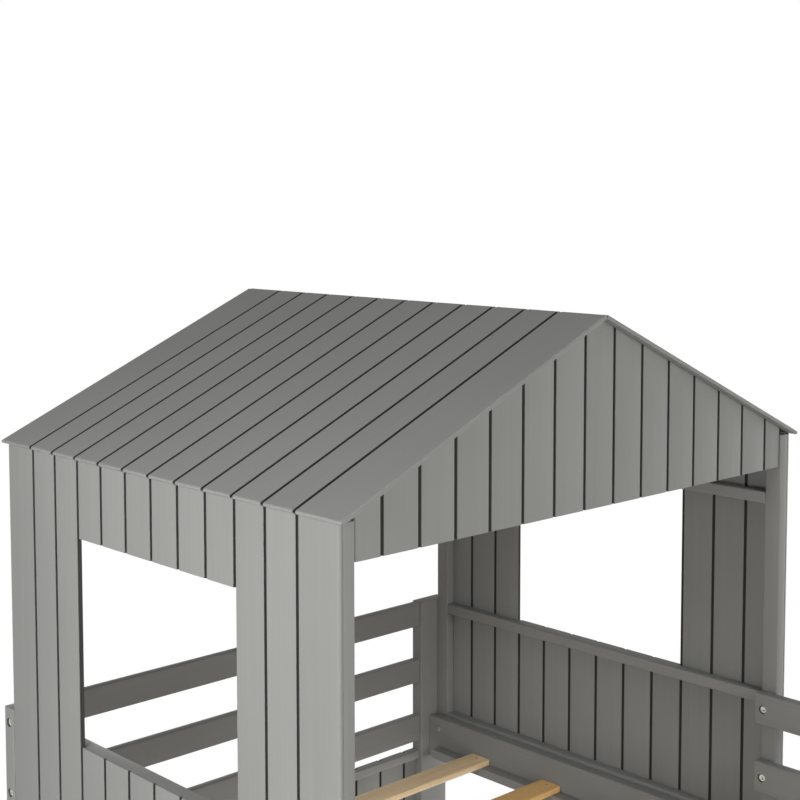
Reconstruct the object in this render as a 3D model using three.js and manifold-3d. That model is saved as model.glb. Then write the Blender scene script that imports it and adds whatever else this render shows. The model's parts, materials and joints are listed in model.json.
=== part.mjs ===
// A twin bunk bed with a planked playhouse over one half of its upper bunk.
// Millimetres: +X runs along the bed towards its open end, +Y to the far side, +Z up.
// The origin is on the floor, midway between the two ends and the two sides.
import * as THREE from "three";
import { mergeVertices } from "three/addons/utils/BufferGeometryUtils.js";
import Module from "manifold-3d";

const wasm = await Module();
wasm.setup();

// Sleeping spaces
const SLEEP_LENGTH = 1965; // between the end frames
const SLEEP_WIDTH = 987; // between the side rails
const UPPER_RAIL_TOP = 1231; // floor to the top edge of the upper side rails
const LOWER_RAIL_TOP = 330; // floor to the top edge of the lower side rails

// Clearances and cuts
const FIT = 0.3; // between neighbouring pieces
const SINK = 1; // depth to which pieces glued into one panel share their wood
const OVERRUN = 5; // how far a cutting shape passes the face that it cuts

// Edges of the sawn pieces
const EDGE_RADIUS = 3; // long edges of rails and posts
const END_CHAMFER = 2; // ends of rails and posts
const SLAT_RADIUS = 1.8; // long edges of slats, ledgers and battens
const BOARD_FACE_EASE = 4; // free edges of planked panels, on their outer face
const BOARD_BACK_EASE = 1.2; // and on the face behind
const CORNER_STEPS = 2; // facets in a quarter round
const CHAMFER_STEPS = 1; // facets where a corner is only chamfered
const BORE_STEPS = 8; // facets round a bolt bore
const ROUND_STEPS = 4; // facets in the half round of a roof board's end

// Side rails, their ledgers and the slats on them
const RAIL_THICK = 26;
const RAIL_HEIGHT = 95;
const LEDGER_DEPTH = 28;
const LEDGER_HEIGHT = 19;
const LEDGER_DROP = 64; // rail's top edge down to the ledger's top
const LEDGER_SETBACK = 36; // ledger's end back from the rail's end
const SLAT_COUNT = 9;
const SLAT_WIDTH = 55;
const SLAT_THICK = 12.5;
const SLAT_INSET = 166; // end frame to the middle of the first slat

// End frames
const POST_THICK = 31;
const POST_WIDTH = 78.5;
const END_RAIL_THICK = 20;
const END_RAIL_HEIGHT = 53.5;
const LOW_END_RAIL_HEIGHT = 59;
const END_RAIL_PITCH = 130; // top edge to top edge
const END_RAIL_COUNT = 3;
const END_RAIL_RISE = 4; // upper side rails' top up to the low end rail's top
const END_RAIL_DROP = 1; // post's top down to the first rail's top edge
const END_PANEL_GAP = 22.5; // lowest rail down to the planked panel
const END_PANEL_CLEAR = 165; // floor up to the planked panel
const END_BATTEN_HEIGHT = 19;

// Boards with tongues, laid side by side
const BOARD_PITCH = 72;
const BOARD_THICK = 7;
const GROOVE_WIDTH = 4.4; // at the face
const GROOVE_FLOOR = 2.6; // at the tongue
const GROOVE_DEPTH = 2.3;

// Playhouse
const WALL_BOARD_COUNT = 12;
const JAMB_BOARD_COUNT = 3; // full boards on each side of a window
const WALL_END_BOARD = 88.5; // first and last board of a wall
const FRAME_DEPTH = 21.5; // posts and rails of the walls and gables
const HOUSE_POST_WIDTH = 32;
const HOUSE_RAIL_HEIGHT = 21.5;
const SILL_HEIGHT = 259; // side rail's top up to the window
const WINDOW_HEIGHT = 357;
const HEAD_HEIGHT = 132; // window's top up to the wall's top
const FOOT_RAIL_RISE = 6; // foot rail's top above the side rail's
const GABLE_RISE = 74; // window's top up to the gable's lower edge
const GABLE_SETBACK = 2; // gable's face behind the wall's end
const GABLE_GAP = 1.2; // gable's sides to the house posts

// Roof
const ROOF_PITCH = THREE.MathUtils.degToRad(24);
const EAVE_OVERHANG = 5.7; // past the wall's outer face
const VERGE_OVERHANG = 12; // past the wall's ends
const BATTEN_WIDTH = 32;
const BATTEN_DEPTH = 18;

// Guard rails of the open half
const GUARD_THICK = 21.5;
const GUARD_HEIGHT = 58.5;
const GUARD_COUNT = 2;

// Ladder in the near side's opening
const STILE_WIDTH = 58;
const LADDER_OPENING = 390; // between the stiles
const RUNG_COUNT = 4;
const RUNG_THICK = 21;
const RUNG_HEIGHT = 42;
const RUNG_RADIUS = 5;

// Bores for the joint bolts
const BORE_DIAMETER = 16;
const BORE_DEPTH = 9;
const RAIL_BOLT_SPACING = 46; // the pair at each end of a side rail

// Places worked out from the sizes above
const halfLength = SLEEP_LENGTH / 2;
const railInner = SLEEP_WIDTH / 2;
const railOuter = railInner + RAIL_THICK;
const frameInner = railOuter + FIT;
const frameOuter = frameInner + FRAME_DEPTH;
const wallOuter = frameOuter + FIT + BOARD_THICK;
const stileThick = wallOuter - frameInner;
const postInner = wallOuter - POST_WIDTH;
const postMiddle = halfLength + POST_THICK / 2;
const houseLength = 2 * WALL_END_BOARD + (WALL_BOARD_COUNT - 2) * BOARD_PITCH;
const houseStart = FIT - halfLength;
const houseMiddle = houseStart + houseLength / 2;
const houseEnd = houseStart + houseLength;
const sill = UPPER_RAIL_TOP + SILL_HEIGHT;
const windowTop = sill + WINDOW_HEIGHT;
const wallFoot = UPPER_RAIL_TOP - RAIL_HEIGHT;
const gableFoot = windowTop + GABLE_RISE;
const wallTop = windowTop + HEAD_HEIGHT;
const roofDrop = Math.tan(ROOF_PITCH); // fall of the roof for each millimetre across
const roofUnder = wallTop + FIT + wallOuter * roofDrop; // underside at the ridge
const roofPeak = roofUnder + BOARD_THICK / Math.cos(ROOF_PITCH); // where the upper faces meet
const endRailTops = Array.from(
  { length: END_RAIL_COUNT },
  (_, i) => UPPER_RAIL_TOP + END_RAIL_RISE + (END_RAIL_COUNT - 1 - i) * END_RAIL_PITCH,
);
const postHeight = endRailTops[0] + END_RAIL_DROP;
const lowestEndRail = endRailTops.at(-1) - LOW_END_RAIL_HEIGHT;
const endPanelTop = lowestEndRail - END_PANEL_GAP;
const endPanelHeight = endPanelTop - END_PANEL_CLEAR;

// Materials
const painted = (name) =>
  new THREE.MeshStandardMaterial({ name, color: 0x8b8c88, roughness: 0.48, metalness: 0 });
const pine = (name) =>
  new THREE.MeshStandardMaterial({ name, color: 0xd6b07a, roughness: 0.62, metalness: 0 });

const bed = new THREE.Group();

function addPiece(parent, name, geometry, material, x, y, z) {
  const mesh = new THREE.Mesh(geometry, material(name));
  mesh.name = name;
  mesh.position.set(x, y, z);
  parent.add(mesh);
  return mesh;
}

function addGroup(parent, x, y, z, turn) {
  const group = new THREE.Group();
  group.position.set(x, y, z);
  group.rotation.z = turn;
  parent.add(group);
  return group;
}

// A geometry as a closed solid that can be joined and cut.
function solid(geometry) {
  const bare = geometry.clone();
  bare.deleteAttribute("normal");
  bare.deleteAttribute("uv");
  const merged = mergeVertices(bare);
  return new wasm.Manifold(
    new wasm.Mesh({
      numProp: 3,
      vertProperties: new Float32Array(merged.attributes.position.array),
      triVerts: new Uint32Array(merged.index.array),
    }),
  );
}

function toGeometry(manifold) {
  const mesh = manifold.getMesh();
  const geometry = new THREE.BufferGeometry();
  const places = new THREE.BufferAttribute(mesh.vertProperties, mesh.numProp);
  geometry.setAttribute("position", places);
  geometry.setIndex(new THREE.BufferAttribute(mesh.triVerts, 1));
  geometry.computeVertexNormals();
  return geometry;
}

const joined = (...geometries) =>
  toGeometry(geometries.map(solid).reduce((all, next) => all.add(next)));
const without = (geometry, ...cuts) =>
  toGeometry(cuts.map(solid).reduce((all, cut) => all.subtract(cut), solid(geometry)));
const common = (a, b) => toGeometry(solid(a).intersect(solid(b)));

// A rectangle about the origin with rounded corners.
function roundedRectangle(width, height, radius) {
  const [x, y] = [width / 2 - radius, height / 2 - radius];
  const quarter = Math.PI / 2;
  const shape = new THREE.Shape();
  shape.moveTo(x, -height / 2);
  shape.absarc(x, -y, radius, -quarter, 0);
  shape.absarc(x, y, radius, 0, quarter);
  shape.absarc(-x, y, radius, quarter, 2 * quarter);
  shape.absarc(-x, -y, radius, 2 * quarter, 3 * quarter);
  return shape;
}

// An arc is divided into twice its shape's curve segments.
const arcSegments = (steps) => steps / 2;

// A planed bar centred on the origin, with eased long edges and chamfered or square ends.
function bar(sizes, along, radius, steps, chamfer) {
  const across = { x: [sizes.z, sizes.y], y: [sizes.x, sizes.z], z: [sizes.x, sizes.y] }[along];
  const length = sizes[along];
  const geometry = new THREE.ExtrudeGeometry(roundedRectangle(...across, radius), {
    depth: length - 2 * chamfer,
    curveSegments: arcSegments(steps),
    bevelEnabled: chamfer > 0,
    bevelSize: chamfer,
    bevelThickness: chamfer,
    bevelOffset: -chamfer,
    bevelSegments: CHAMFER_STEPS,
  });
  geometry.translate(0, 0, chamfer - length / 2);
  if (along === "x") geometry.rotateY(Math.PI / 2);
  if (along === "y") geometry.rotateX(Math.PI / 2);
  return geometry;
}

const rail = (x, y, z, along) =>
  bar({ x, y, z }, along, EDGE_RADIUS, CORNER_STEPS, END_CHAMFER);
const batten = (x, y, z) => bar({ x, y, z }, "x", SLAT_RADIUS, CHAMFER_STEPS, 0);

function block(x0, x1, y0, y1, z0, z1) {
  const geometry = new THREE.BoxGeometry(x1 - x0, y1 - y0, z1 - z0);
  return geometry.translate((x0 + x1) / 2, (y0 + y1) / 2, (z0 + z1) / 2);
}

// The cut for a blind bolt bore that enters a face at a point and runs along a direction.
function bore(x, y, z, direction) {
  const length = BORE_DEPTH + OVERRUN;
  const geometry = new THREE.CylinderGeometry(
    BORE_DIAMETER / 2,
    BORE_DIAMETER / 2,
    length,
    BORE_STEPS,
  );
  const way = new THREE.Vector3(...direction);
  geometry.applyQuaternion(
    new THREE.Quaternion().setFromUnitVectors(new THREE.Vector3(0, 1, 0), way),
  );
  const middle = way.multiplyScalar(BORE_DEPTH - length / 2);
  return geometry.translate(x + middle.x, y + middle.y, z + middle.z);
}

// A shape drawn over a panel's run and height, made into a slab through its thickness.
function slabThrough(shape, front, thickness) {
  const geometry = new THREE.ExtrudeGeometry(shape, { depth: thickness, bevelEnabled: false });
  return geometry.rotateX(Math.PI / 2).translate(0, front + thickness, 0);
}

// How many boards fill a width, when the two at its ends are half a board wide or more.
const boardsAcross = (width) => Math.ceil(width / BOARD_PITCH);

// Edges of a row of boards, centred on zero.
function boardEdges(count, endBoard) {
  const half = endBoard + ((count - 2) * BOARD_PITCH) / 2;
  const inner = Array.from({ length: count - 1 }, (_, i) => endBoard - half + i * BOARD_PITCH);
  return [-half, ...inner, half];
}

// Edges of a row that fills a width, with its two end boards cut to fit.
function fittedEdges(width) {
  const count = boardsAcross(width);
  return boardEdges(count, (width - (count - 2) * BOARD_PITCH) / 2);
}

// One face of a row of boards, as points of place along the row and depth under the face.
// A seam is a groove over the tongue with a floor, or none for a V, and a free edge is eased.
function boardFace(edges, floor, easing, freeStart, freeEnd) {
  const last = edges.length - 1;
  const ease = (sign, x) => {
    const steps = Array.from({ length: CORNER_STEPS + 1 }, (_, i) => {
      const turn = (i / CORNER_STEPS) * (Math.PI / 2);
      return [x + sign * easing * (1 - Math.cos(turn)), easing * (1 - Math.sin(turn))];
    });
    return sign > 0 ? steps : steps.reverse();
  };
  return edges.flatMap((x, i) => {
    if (i === 0 && freeStart) return ease(1, x);
    if (i === last && freeEnd) return ease(-1, x);
    const corners = (sign) => [
      [x + (sign * GROOVE_WIDTH) / 2, 0],
      [x + (sign * Math.max(floor, FIT)) / 2, GROOVE_DEPTH],
      ...(floor > 0 ? [[x + (sign * FIT) / 2, GROOVE_DEPTH]] : []),
    ];
    if (i === 0) return corners(1).reverse();
    if (i === last) return corners(-1);
    if (floor > 0) return [...corners(-1).slice(0, 2), ...corners(1).slice(0, 2).reverse()];
    return [corners(-1)[0], [x, GROOVE_DEPTH], corners(1)[0]];
  });
}

// A row of tongued boards: x along the row, y inwards from the outer face, z up from zero.
function boards(edges, length, freeStart, freeEnd) {
  const outer = boardFace(edges, GROOVE_FLOOR, BOARD_FACE_EASE, freeStart, freeEnd).map(
    ([x, depth]) => new THREE.Vector2(x, depth),
  );
  const inner = boardFace(edges, 0, BOARD_BACK_EASE, freeStart, freeEnd).map(
    ([x, depth]) => new THREE.Vector2(x, BOARD_THICK - depth),
  );
  return new THREE.ExtrudeGeometry(new THREE.Shape([...outer, ...inner.reverse()]), {
    depth: length,
    bevelEnabled: false,
  });
}

// A side rail with the ledger glued along its inner face, for the far side.
function sideRail() {
  const plank = rail(SLEEP_LENGTH - 2 * FIT, RAIL_THICK, RAIL_HEIGHT, "x");
  plank.translate(0, railInner + RAIL_THICK / 2, -RAIL_HEIGHT / 2);
  const length = SLEEP_LENGTH - 2 * LEDGER_SETBACK;
  const depth = LEDGER_DEPTH + SINK + SLAT_RADIUS;
  const ledger = batten(length, depth, LEDGER_HEIGHT);
  const ledgerMiddle = railInner - LEDGER_DEPTH + depth / 2;
  ledger.translate(0, ledgerMiddle, -LEDGER_DROP - LEDGER_HEIGHT / 2);
  return joined(plank, ledger);
}

function addBunk(name, railTop) {
  for (const [side, turn] of [["far", 0], ["near", Math.PI]]) {
    const group = addGroup(bed, 0, 0, railTop, turn);
    addPiece(group, `${name}_side_rail_${side}`, sideRail(), painted, 0, 0, 0);
  }
  const pitch = (SLEEP_LENGTH - 2 * SLAT_INSET) / (SLAT_COUNT - 1);
  const slatSizes = { x: SLAT_WIDTH, y: SLEEP_WIDTH - 2 * FIT, z: SLAT_THICK };
  const slatMiddle = railTop - LEDGER_DROP + FIT + SLAT_THICK / 2;
  for (let i = 0; i < SLAT_COUNT; i++) {
    const geometry = bar(slatSizes, "y", SLAT_RADIUS, CHAMFER_STEPS, 0);
    const x = SLAT_INSET - halfLength + i * pitch;
    addPiece(bed, `${name}_slat_${i + 1}`, geometry, pine, x, 0, slatMiddle);
  }
}

const endRailHeight = (i) => (i === END_RAIL_COUNT - 1 ? LOW_END_RAIL_HEIGHT : END_RAIL_HEIGHT);
const endRailMiddles = endRailTops.map((top, i) => top - endRailHeight(i) / 2);
const battenMiddles = [
  endPanelTop - END_BATTEN_HEIGHT / 2,
  END_PANEL_CLEAR + endPanelHeight / 2,
  END_PANEL_CLEAR + END_BATTEN_HEIGHT / 2,
];
const guardMiddles = Array.from(
  { length: GUARD_COUNT },
  (_, i) => endRailTops[i] - GUARD_HEIGHT / 2,
);
const railBoltHeights = [UPPER_RAIL_TOP, LOWER_RAIL_TOP].flatMap((railTop) =>
  [-1, 1].map((way) => railTop - RAIL_HEIGHT / 2 + (way * RAIL_BOLT_SPACING) / 2),
);

// A corner post with the bores for its end rails and side rails, and for the ends of guard
// rails at the heights given; side is 1 for the far one. It stands at the end that faces +X.
function cornerPost(side, guards) {
  const plank = rail(POST_THICK, POST_WIDTH, postHeight, "z");
  plank.translate(postMiddle, side * (postInner + POST_WIDTH / 2), postHeight / 2);
  const crossBores = [...endRailMiddles, ...battenMiddles].map((z) =>
    bore(postMiddle, side * wallOuter, z, [0, -side, 0]),
  );
  const endBore = (y, z) => bore(halfLength + POST_THICK, side * y, z, [-1, 0, 0]);
  const railBores = railBoltHeights.map((z) => endBore(railInner + RAIL_THICK / 2, z));
  const guardBores = guards.map((z) => endBore(railOuter - GUARD_THICK / 2, z));
  return without(plank, ...crossBores, ...railBores, ...guardBores);
}

// The planked lower part of an end frame: boards on three battens, facing outwards.
function endPanel() {
  const width = 2 * (postInner - FIT);
  const boarding = boards(fittedEdges(width), endPanelHeight, true, true);
  const depth = END_RAIL_THICK - BOARD_THICK + SINK;
  const battens = battenMiddles.map((z) => {
    const strip = batten(width - 2 * FIT, depth, END_BATTEN_HEIGHT);
    return strip.translate(0, BOARD_THICK - SINK + depth / 2, z - END_PANEL_CLEAR);
  });
  return joined(boarding, ...battens);
}

function addEndFrame(name, turn) {
  const group = addGroup(bed, 0, 0, 0, turn);
  // The turned frame's own far side is the bed's near side.
  const sides = turn === 0 ? { near: -1, far: 1 } : { near: 1, far: -1 };
  for (const [side, sign] of Object.entries(sides)) {
    // The far guard rails end on the open end's far post.
    const guards = turn === 0 && side === "far" ? guardMiddles : [];
    addPiece(group, `${name}_post_${side}`, cornerPost(sign, guards), painted, 0, 0, 0);
  }
  endRailMiddles.forEach((z, i) => {
    const geometry = rail(END_RAIL_THICK, 2 * (postInner - FIT), endRailHeight(i), "y");
    addPiece(group, `${name}_rail_${i + 1}`, geometry, painted, postMiddle, 0, z);
  });
  const face = addGroup(group, postMiddle + END_RAIL_THICK / 2, 0, END_PANEL_CLEAR, Math.PI / 2);
  addPiece(face, `${name}_planked_panel`, endPanel(), painted, 0, 0, 0);
}

const wallEdges = boardEdges(WALL_BOARD_COUNT, WALL_END_BOARD);
const windowFirst = JAMB_BOARD_COUNT;
const windowLast = WALL_BOARD_COUNT - JAMB_BOARD_COUNT;
const frameFront = BOARD_THICK + FIT; // a wall's rails behind its outer face

// Boards above or below a window, on two rails that run from post to post.
function windowPanel(foot, top, railTops) {
  const edges = wallEdges.slice(windowFirst, windowLast + 1);
  const boarding = boards(edges, top - foot, false, false);
  const length = houseLength - 2 * (HOUSE_POST_WIDTH + FIT);
  const glued = edges.at(-1) - GROOVE_WIDTH;
  const backing = railTops.flatMap((railTop) => {
    const middle = railTop - foot - HOUSE_RAIL_HEIGHT / 2;
    const plank = batten(length, FRAME_DEPTH, HOUSE_RAIL_HEIGHT);
    plank.translate(0, frameFront + FRAME_DEPTH / 2, middle);
    const half = HOUSE_RAIL_HEIGHT / 2 - SLAT_RADIUS;
    const front = BOARD_THICK - SINK;
    const bond = block(-glued, glued, front, frameFront + SINK, middle - half, middle + half);
    return [plank, bond];
  });
  return joined(boarding, ...backing);
}

function addWall(side, y, turn) {
  const wall = addGroup(bed, houseMiddle, y, 0, turn);
  const headRails = [wallTop, windowTop + HOUSE_RAIL_HEIGHT];
  const sillRails = [sill, UPPER_RAIL_TOP + FOOT_RAIL_RISE];
  const head = windowPanel(windowTop, wallTop, headRails);
  const below = windowPanel(wallFoot, sill, sillRails);
  addPiece(wall, `house_window_head_${side}`, head, painted, 0, 0, windowTop);
  addPiece(wall, `house_window_sill_${side}`, below, painted, 0, 0, wallFoot);
  // The turned wall's own start is the house's open end.
  const ends = turn === 0 ? ["bunk_end", "open_end"] : ["open_end", "bunk_end"];
  const jambs = [
    boards(wallEdges.slice(0, windowFirst + 1), wallTop - wallFoot, true, false),
    boards(wallEdges.slice(windowLast), wallTop - wallFoot, false, true),
  ];
  ends.forEach((end, i) => {
    addPiece(wall, `house_boards_${side}_${end}`, jambs[i], painted, 0, 0, wallFoot);
    const post = rail(HOUSE_POST_WIDTH, FRAME_DEPTH, wallTop - wallFoot, "z");
    const x = ((i === 0 ? -1 : 1) * (houseLength - HOUSE_POST_WIDTH)) / 2;
    const [depth, height] = [frameFront + FRAME_DEPTH / 2, (wallFoot + wallTop) / 2];
    addPiece(wall, `house_post_${side}_${end}`, post, painted, x, depth, height);
  });
}

// The outline under the roof, drawn in by a margin all round, or out by a negative one.
function gableOutline(sideMargin, footMargin, roofMargin) {
  const half = frameInner - GABLE_GAP - sideMargin;
  const peak = roofUnder - FIT - roofMargin / Math.cos(ROOF_PITCH) - gableFoot;
  return [
    new THREE.Vector2(-half, footMargin),
    new THREE.Vector2(half, footMargin),
    new THREE.Vector2(half, peak - half * roofDrop),
    new THREE.Vector2(0, peak),
    new THREE.Vector2(-half, peak - half * roofDrop),
  ];
}

// A gable: upright boards cut to the roof's slope, on a frame of rail, uprights and rafters.
function gable() {
  const [, corner, , peak] = gableOutline(0, 0, 0);
  const run = boards(fittedEdges(2 * corner.x), peak.y + OVERRUN, true, true);
  const slopes = new THREE.Shape(gableOutline(-OVERRUN, -OVERRUN, 0));
  const boarding = common(run, slabThrough(slopes, -OVERRUN, BOARD_THICK + 2 * OVERRUN));
  const ring = new THREE.Shape(gableOutline(FIT, FIT, FIT));
  const width = HOUSE_RAIL_HEIGHT;
  ring.holes.push(new THREE.Path(gableOutline(width, width, width)));
  const frame = slabThrough(ring, BOARD_THICK - SINK, FRAME_DEPTH + SINK);
  return joined(boarding, frame);
}

// A roof slope in its own frame: x along the house, y down through the boards, z down the slope.
function roofSlope() {
  const radius = BOARD_THICK / 2;
  const [sine, cosine] = [Math.sin(ROOF_PITCH), Math.cos(ROOF_PITCH)];
  const start = (radius + FIT / 2 + radius * sine) / cosine;
  const end = (wallOuter + EAVE_OVERHANG - radius + radius * sine) / cosine;
  const edges = boardEdges(WALL_BOARD_COUNT, WALL_END_BOARD + VERGE_OVERHANG);
  const run = boards(edges, end + BOARD_THICK, true, true);
  const side = new THREE.Shape();
  side.moveTo(start, BOARD_THICK);
  side.absarc(start, radius, radius, Math.PI / 2, (3 * Math.PI) / 2);
  side.absarc(end, radius, radius, -Math.PI / 2, Math.PI / 2);
  const length = 2 * edges.at(-1) + 2 * OVERRUN;
  const rounding = new THREE.ExtrudeGeometry(side, {
    depth: length,
    bevelEnabled: false,
    curveSegments: arcSegments(ROUND_STEPS),
  });
  rounding.rotateY(-Math.PI / 2).translate(length / 2, 0, 0);
  const depth = BATTEN_DEPTH + SINK;
  const under = BOARD_THICK + BATTEN_DEPTH;
  const gableBack = GABLE_SETBACK + BOARD_THICK + FRAME_DEPTH + FIT;
  const ridgeBatten = under * roofDrop + FIT + BATTEN_WIDTH / 2;
  const eaveBatten = (frameInner - FIT + BOARD_THICK * sine) / cosine - BATTEN_WIDTH / 2;
  const battens = [ridgeBatten, (ridgeBatten + eaveBatten) / 2, eaveBatten].map((z) => {
    const strip = batten(houseLength - 2 * gableBack, depth, BATTEN_WIDTH);
    return strip.translate(0, BOARD_THICK - SINK + depth / 2, z);
  });
  return joined(common(run, rounding), ...battens);
}

function addRoof(side, turn) {
  const slope = addGroup(bed, houseMiddle, 0, roofPeak, turn);
  const mesh = addPiece(slope, `house_roof_${side}`, roofSlope(), painted, 0, 0, 0);
  mesh.rotation.x = -Math.PI / 2 - ROOF_PITCH;
}

const guardStart = houseEnd - HOUSE_POST_WIDTH;
const housePostMiddle = houseEnd - HOUSE_POST_WIDTH / 2;

// Guard rails from the house post to a far point, with a bolt bore at each place given.
function addGuard(side, sign, end, boltPlaces) {
  const length = end - guardStart;
  const [x, y] = [guardStart + length / 2, sign * (railOuter - GUARD_THICK / 2)];
  guardMiddles.forEach((z, i) => {
    const plank = rail(length, GUARD_THICK, GUARD_HEIGHT, "x").translate(x, y, z);
    const innerFace = sign * (railOuter - GUARD_THICK);
    const bores = boltPlaces.map((place) => bore(place, innerFace, z, [0, sign, 0]));
    addPiece(bed, `guard_rail_${side}_${i + 1}`, without(plank, ...bores), painted, 0, 0, 0);
  });
}

const ladderEnd = halfLength - FIT;
const stileMiddles = {
  right: ladderEnd - STILE_WIDTH / 2,
  left: ladderEnd - STILE_WIDTH - LADDER_OPENING - STILE_WIDTH / 2,
};
const rungPitch = UPPER_RAIL_TOP / (RUNG_COUNT + 1);
const rungMiddles = Array.from(
  { length: RUNG_COUNT },
  (_, i) => (i + 1) * rungPitch - RUNG_HEIGHT / 2,
);

function addLadder() {
  const y = -(frameInner + stileThick / 2);
  for (const [side, x] of Object.entries(stileMiddles)) {
    const plank = rail(STILE_WIDTH, stileThick, postHeight, "z").translate(x, y, postHeight / 2);
    const railBores = railBoltHeights.map((z) => bore(x, -wallOuter, z, [0, 1, 0]));
    const way = side === "left" ? 1 : -1;
    const rungBores = rungMiddles.map((z) =>
      bore(x - (way * STILE_WIDTH) / 2, y, z, [way, 0, 0]),
    );
    const geometry = without(plank, ...railBores, ...rungBores);
    addPiece(bed, `ladder_stile_${side}`, geometry, painted, 0, 0, 0);
  }
  const sizes = { x: LADDER_OPENING - 2 * FIT, y: RUNG_THICK, z: RUNG_HEIGHT };
  const x = (stileMiddles.left + stileMiddles.right) / 2;
  rungMiddles.forEach((z, i) => {
    const geometry = bar(sizes, "x", RUNG_RADIUS, CORNER_STEPS, END_CHAMFER);
    addPiece(bed, `ladder_rung_${i + 1}`, geometry, painted, x, y, z);
  });
}

addBunk("lower", LOWER_RAIL_TOP);
addBunk("upper", UPPER_RAIL_TOP);
addEndFrame("open_end", 0);
addEndFrame("bunk_end", Math.PI);
addWall("near", -wallOuter, 0);
addWall("far", wallOuter, Math.PI);
for (const [end, sign] of [["open", 1], ["bunk", -1]]) {
  const x = houseMiddle + sign * (houseLength / 2 - GABLE_SETBACK);
  const face = addGroup(bed, x, 0, gableFoot, (sign * Math.PI) / 2);
  addPiece(face, `house_gable_${end}_end`, gable(), painted, 0, 0, 0);
}
addRoof("far", 0);
addRoof("near", Math.PI);
addGuard("far", 1, halfLength - FIT, [housePostMiddle]);
const guardEnd = stileMiddles.left + STILE_WIDTH / 2;
addGuard("near", -1, guardEnd, [housePostMiddle, stileMiddles.left]);
addLadder();

export default bed;
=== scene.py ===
"""A painted bunk bed with a planked playhouse over half of its upper bunk, dressed and lit.

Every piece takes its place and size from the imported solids. Metres: +X runs along the bed
towards its open end, +Y to the far side and +Z up.
"""
import json
import logging
import math
from collections.abc import Sequence
from dataclasses import dataclass, field
from enum import Enum

import bmesh
import bpy
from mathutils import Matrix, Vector

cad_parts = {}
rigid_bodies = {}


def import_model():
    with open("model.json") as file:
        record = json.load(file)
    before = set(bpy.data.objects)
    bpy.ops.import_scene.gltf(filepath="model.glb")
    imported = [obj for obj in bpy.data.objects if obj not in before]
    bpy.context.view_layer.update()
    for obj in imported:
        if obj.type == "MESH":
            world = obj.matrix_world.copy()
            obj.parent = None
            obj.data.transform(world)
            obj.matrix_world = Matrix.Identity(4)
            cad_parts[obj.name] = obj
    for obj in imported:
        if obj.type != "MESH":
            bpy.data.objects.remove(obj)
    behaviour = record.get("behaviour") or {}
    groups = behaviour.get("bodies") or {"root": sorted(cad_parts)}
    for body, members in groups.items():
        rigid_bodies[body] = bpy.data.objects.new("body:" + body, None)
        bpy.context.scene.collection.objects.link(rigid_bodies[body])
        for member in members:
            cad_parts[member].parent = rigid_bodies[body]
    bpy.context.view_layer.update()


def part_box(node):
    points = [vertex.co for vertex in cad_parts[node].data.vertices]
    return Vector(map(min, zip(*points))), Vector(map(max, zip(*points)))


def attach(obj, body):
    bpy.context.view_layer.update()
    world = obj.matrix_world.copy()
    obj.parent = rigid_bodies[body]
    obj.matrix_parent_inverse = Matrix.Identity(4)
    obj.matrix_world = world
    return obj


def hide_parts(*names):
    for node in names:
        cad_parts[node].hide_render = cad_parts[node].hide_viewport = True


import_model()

LOG = logging.getLogger("bunk_bed")
BODY = "root"
MM = 0.001
TONE = "board_tone"
# The mesh attribute that carries painted shade inside the board slots
SLOT_SHADE = "hidden_from_brush"
WAY = "way"
SIDES = {"near": -1, "far": 1}
BUNKS = ("lower", "upper")
ENDS = {"bunk_end": -1, "open_end": 1}
X_AXIS, Y_AXIS, Z_AXIS = Vector((1, 0, 0)), Vector((0, 1, 0)), Vector((0, 0, 1))
WHITE = (1.0, 1.0, 1.0, 1.0)
NOISE_MIDDLE = 0.5
HOUSE_MIDDLE = (-0.4, 0.0, 1.75)

# A point of a section, and one that also says how much painted shade darkens it inside a slot
Point = tuple[float, float]
Trace = tuple[float, float, float]
# A place in the room, and a fastener's place with the way that its head faces
Spot = tuple[float, float, float]
Seat = tuple[Vector, Vector]
Colour = tuple[float, float, float]
Piece = bpy.types.Object
Material = bpy.types.Material
Socket = bpy.types.NodeSocket


def quarter_turns(steps: int) -> list[float]:
    """Lists the angles of a quarter turn in equal steps, with both ends."""
    return [i / steps * math.pi / 2 for i in range(steps + 1)]


def round_turns(count: int) -> list[float]:
    """Lists the angles that divide a full turn into as many equal steps."""
    return [i / count * math.tau for i in range(count)]


class Run(Enum):
    """The axes along which a piece's grain runs; a roof board's run leans over two."""

    X = (1, 0, 0)
    Y = (0, 1, 0)
    Z = (0, 0, 1)
    SLOPE = (0, 1, 1)


class Slot(Enum):
    """The record's material slots."""

    FRAME = "painted_frame"
    BOARDS = "painted_boards"
    PINE = "pine_slat"


class BoardEdge(Enum):
    """How a board ends across its width."""

    TONGUE = "tongue"
    SLOT = "slot"
    FREE = "free"


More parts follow.
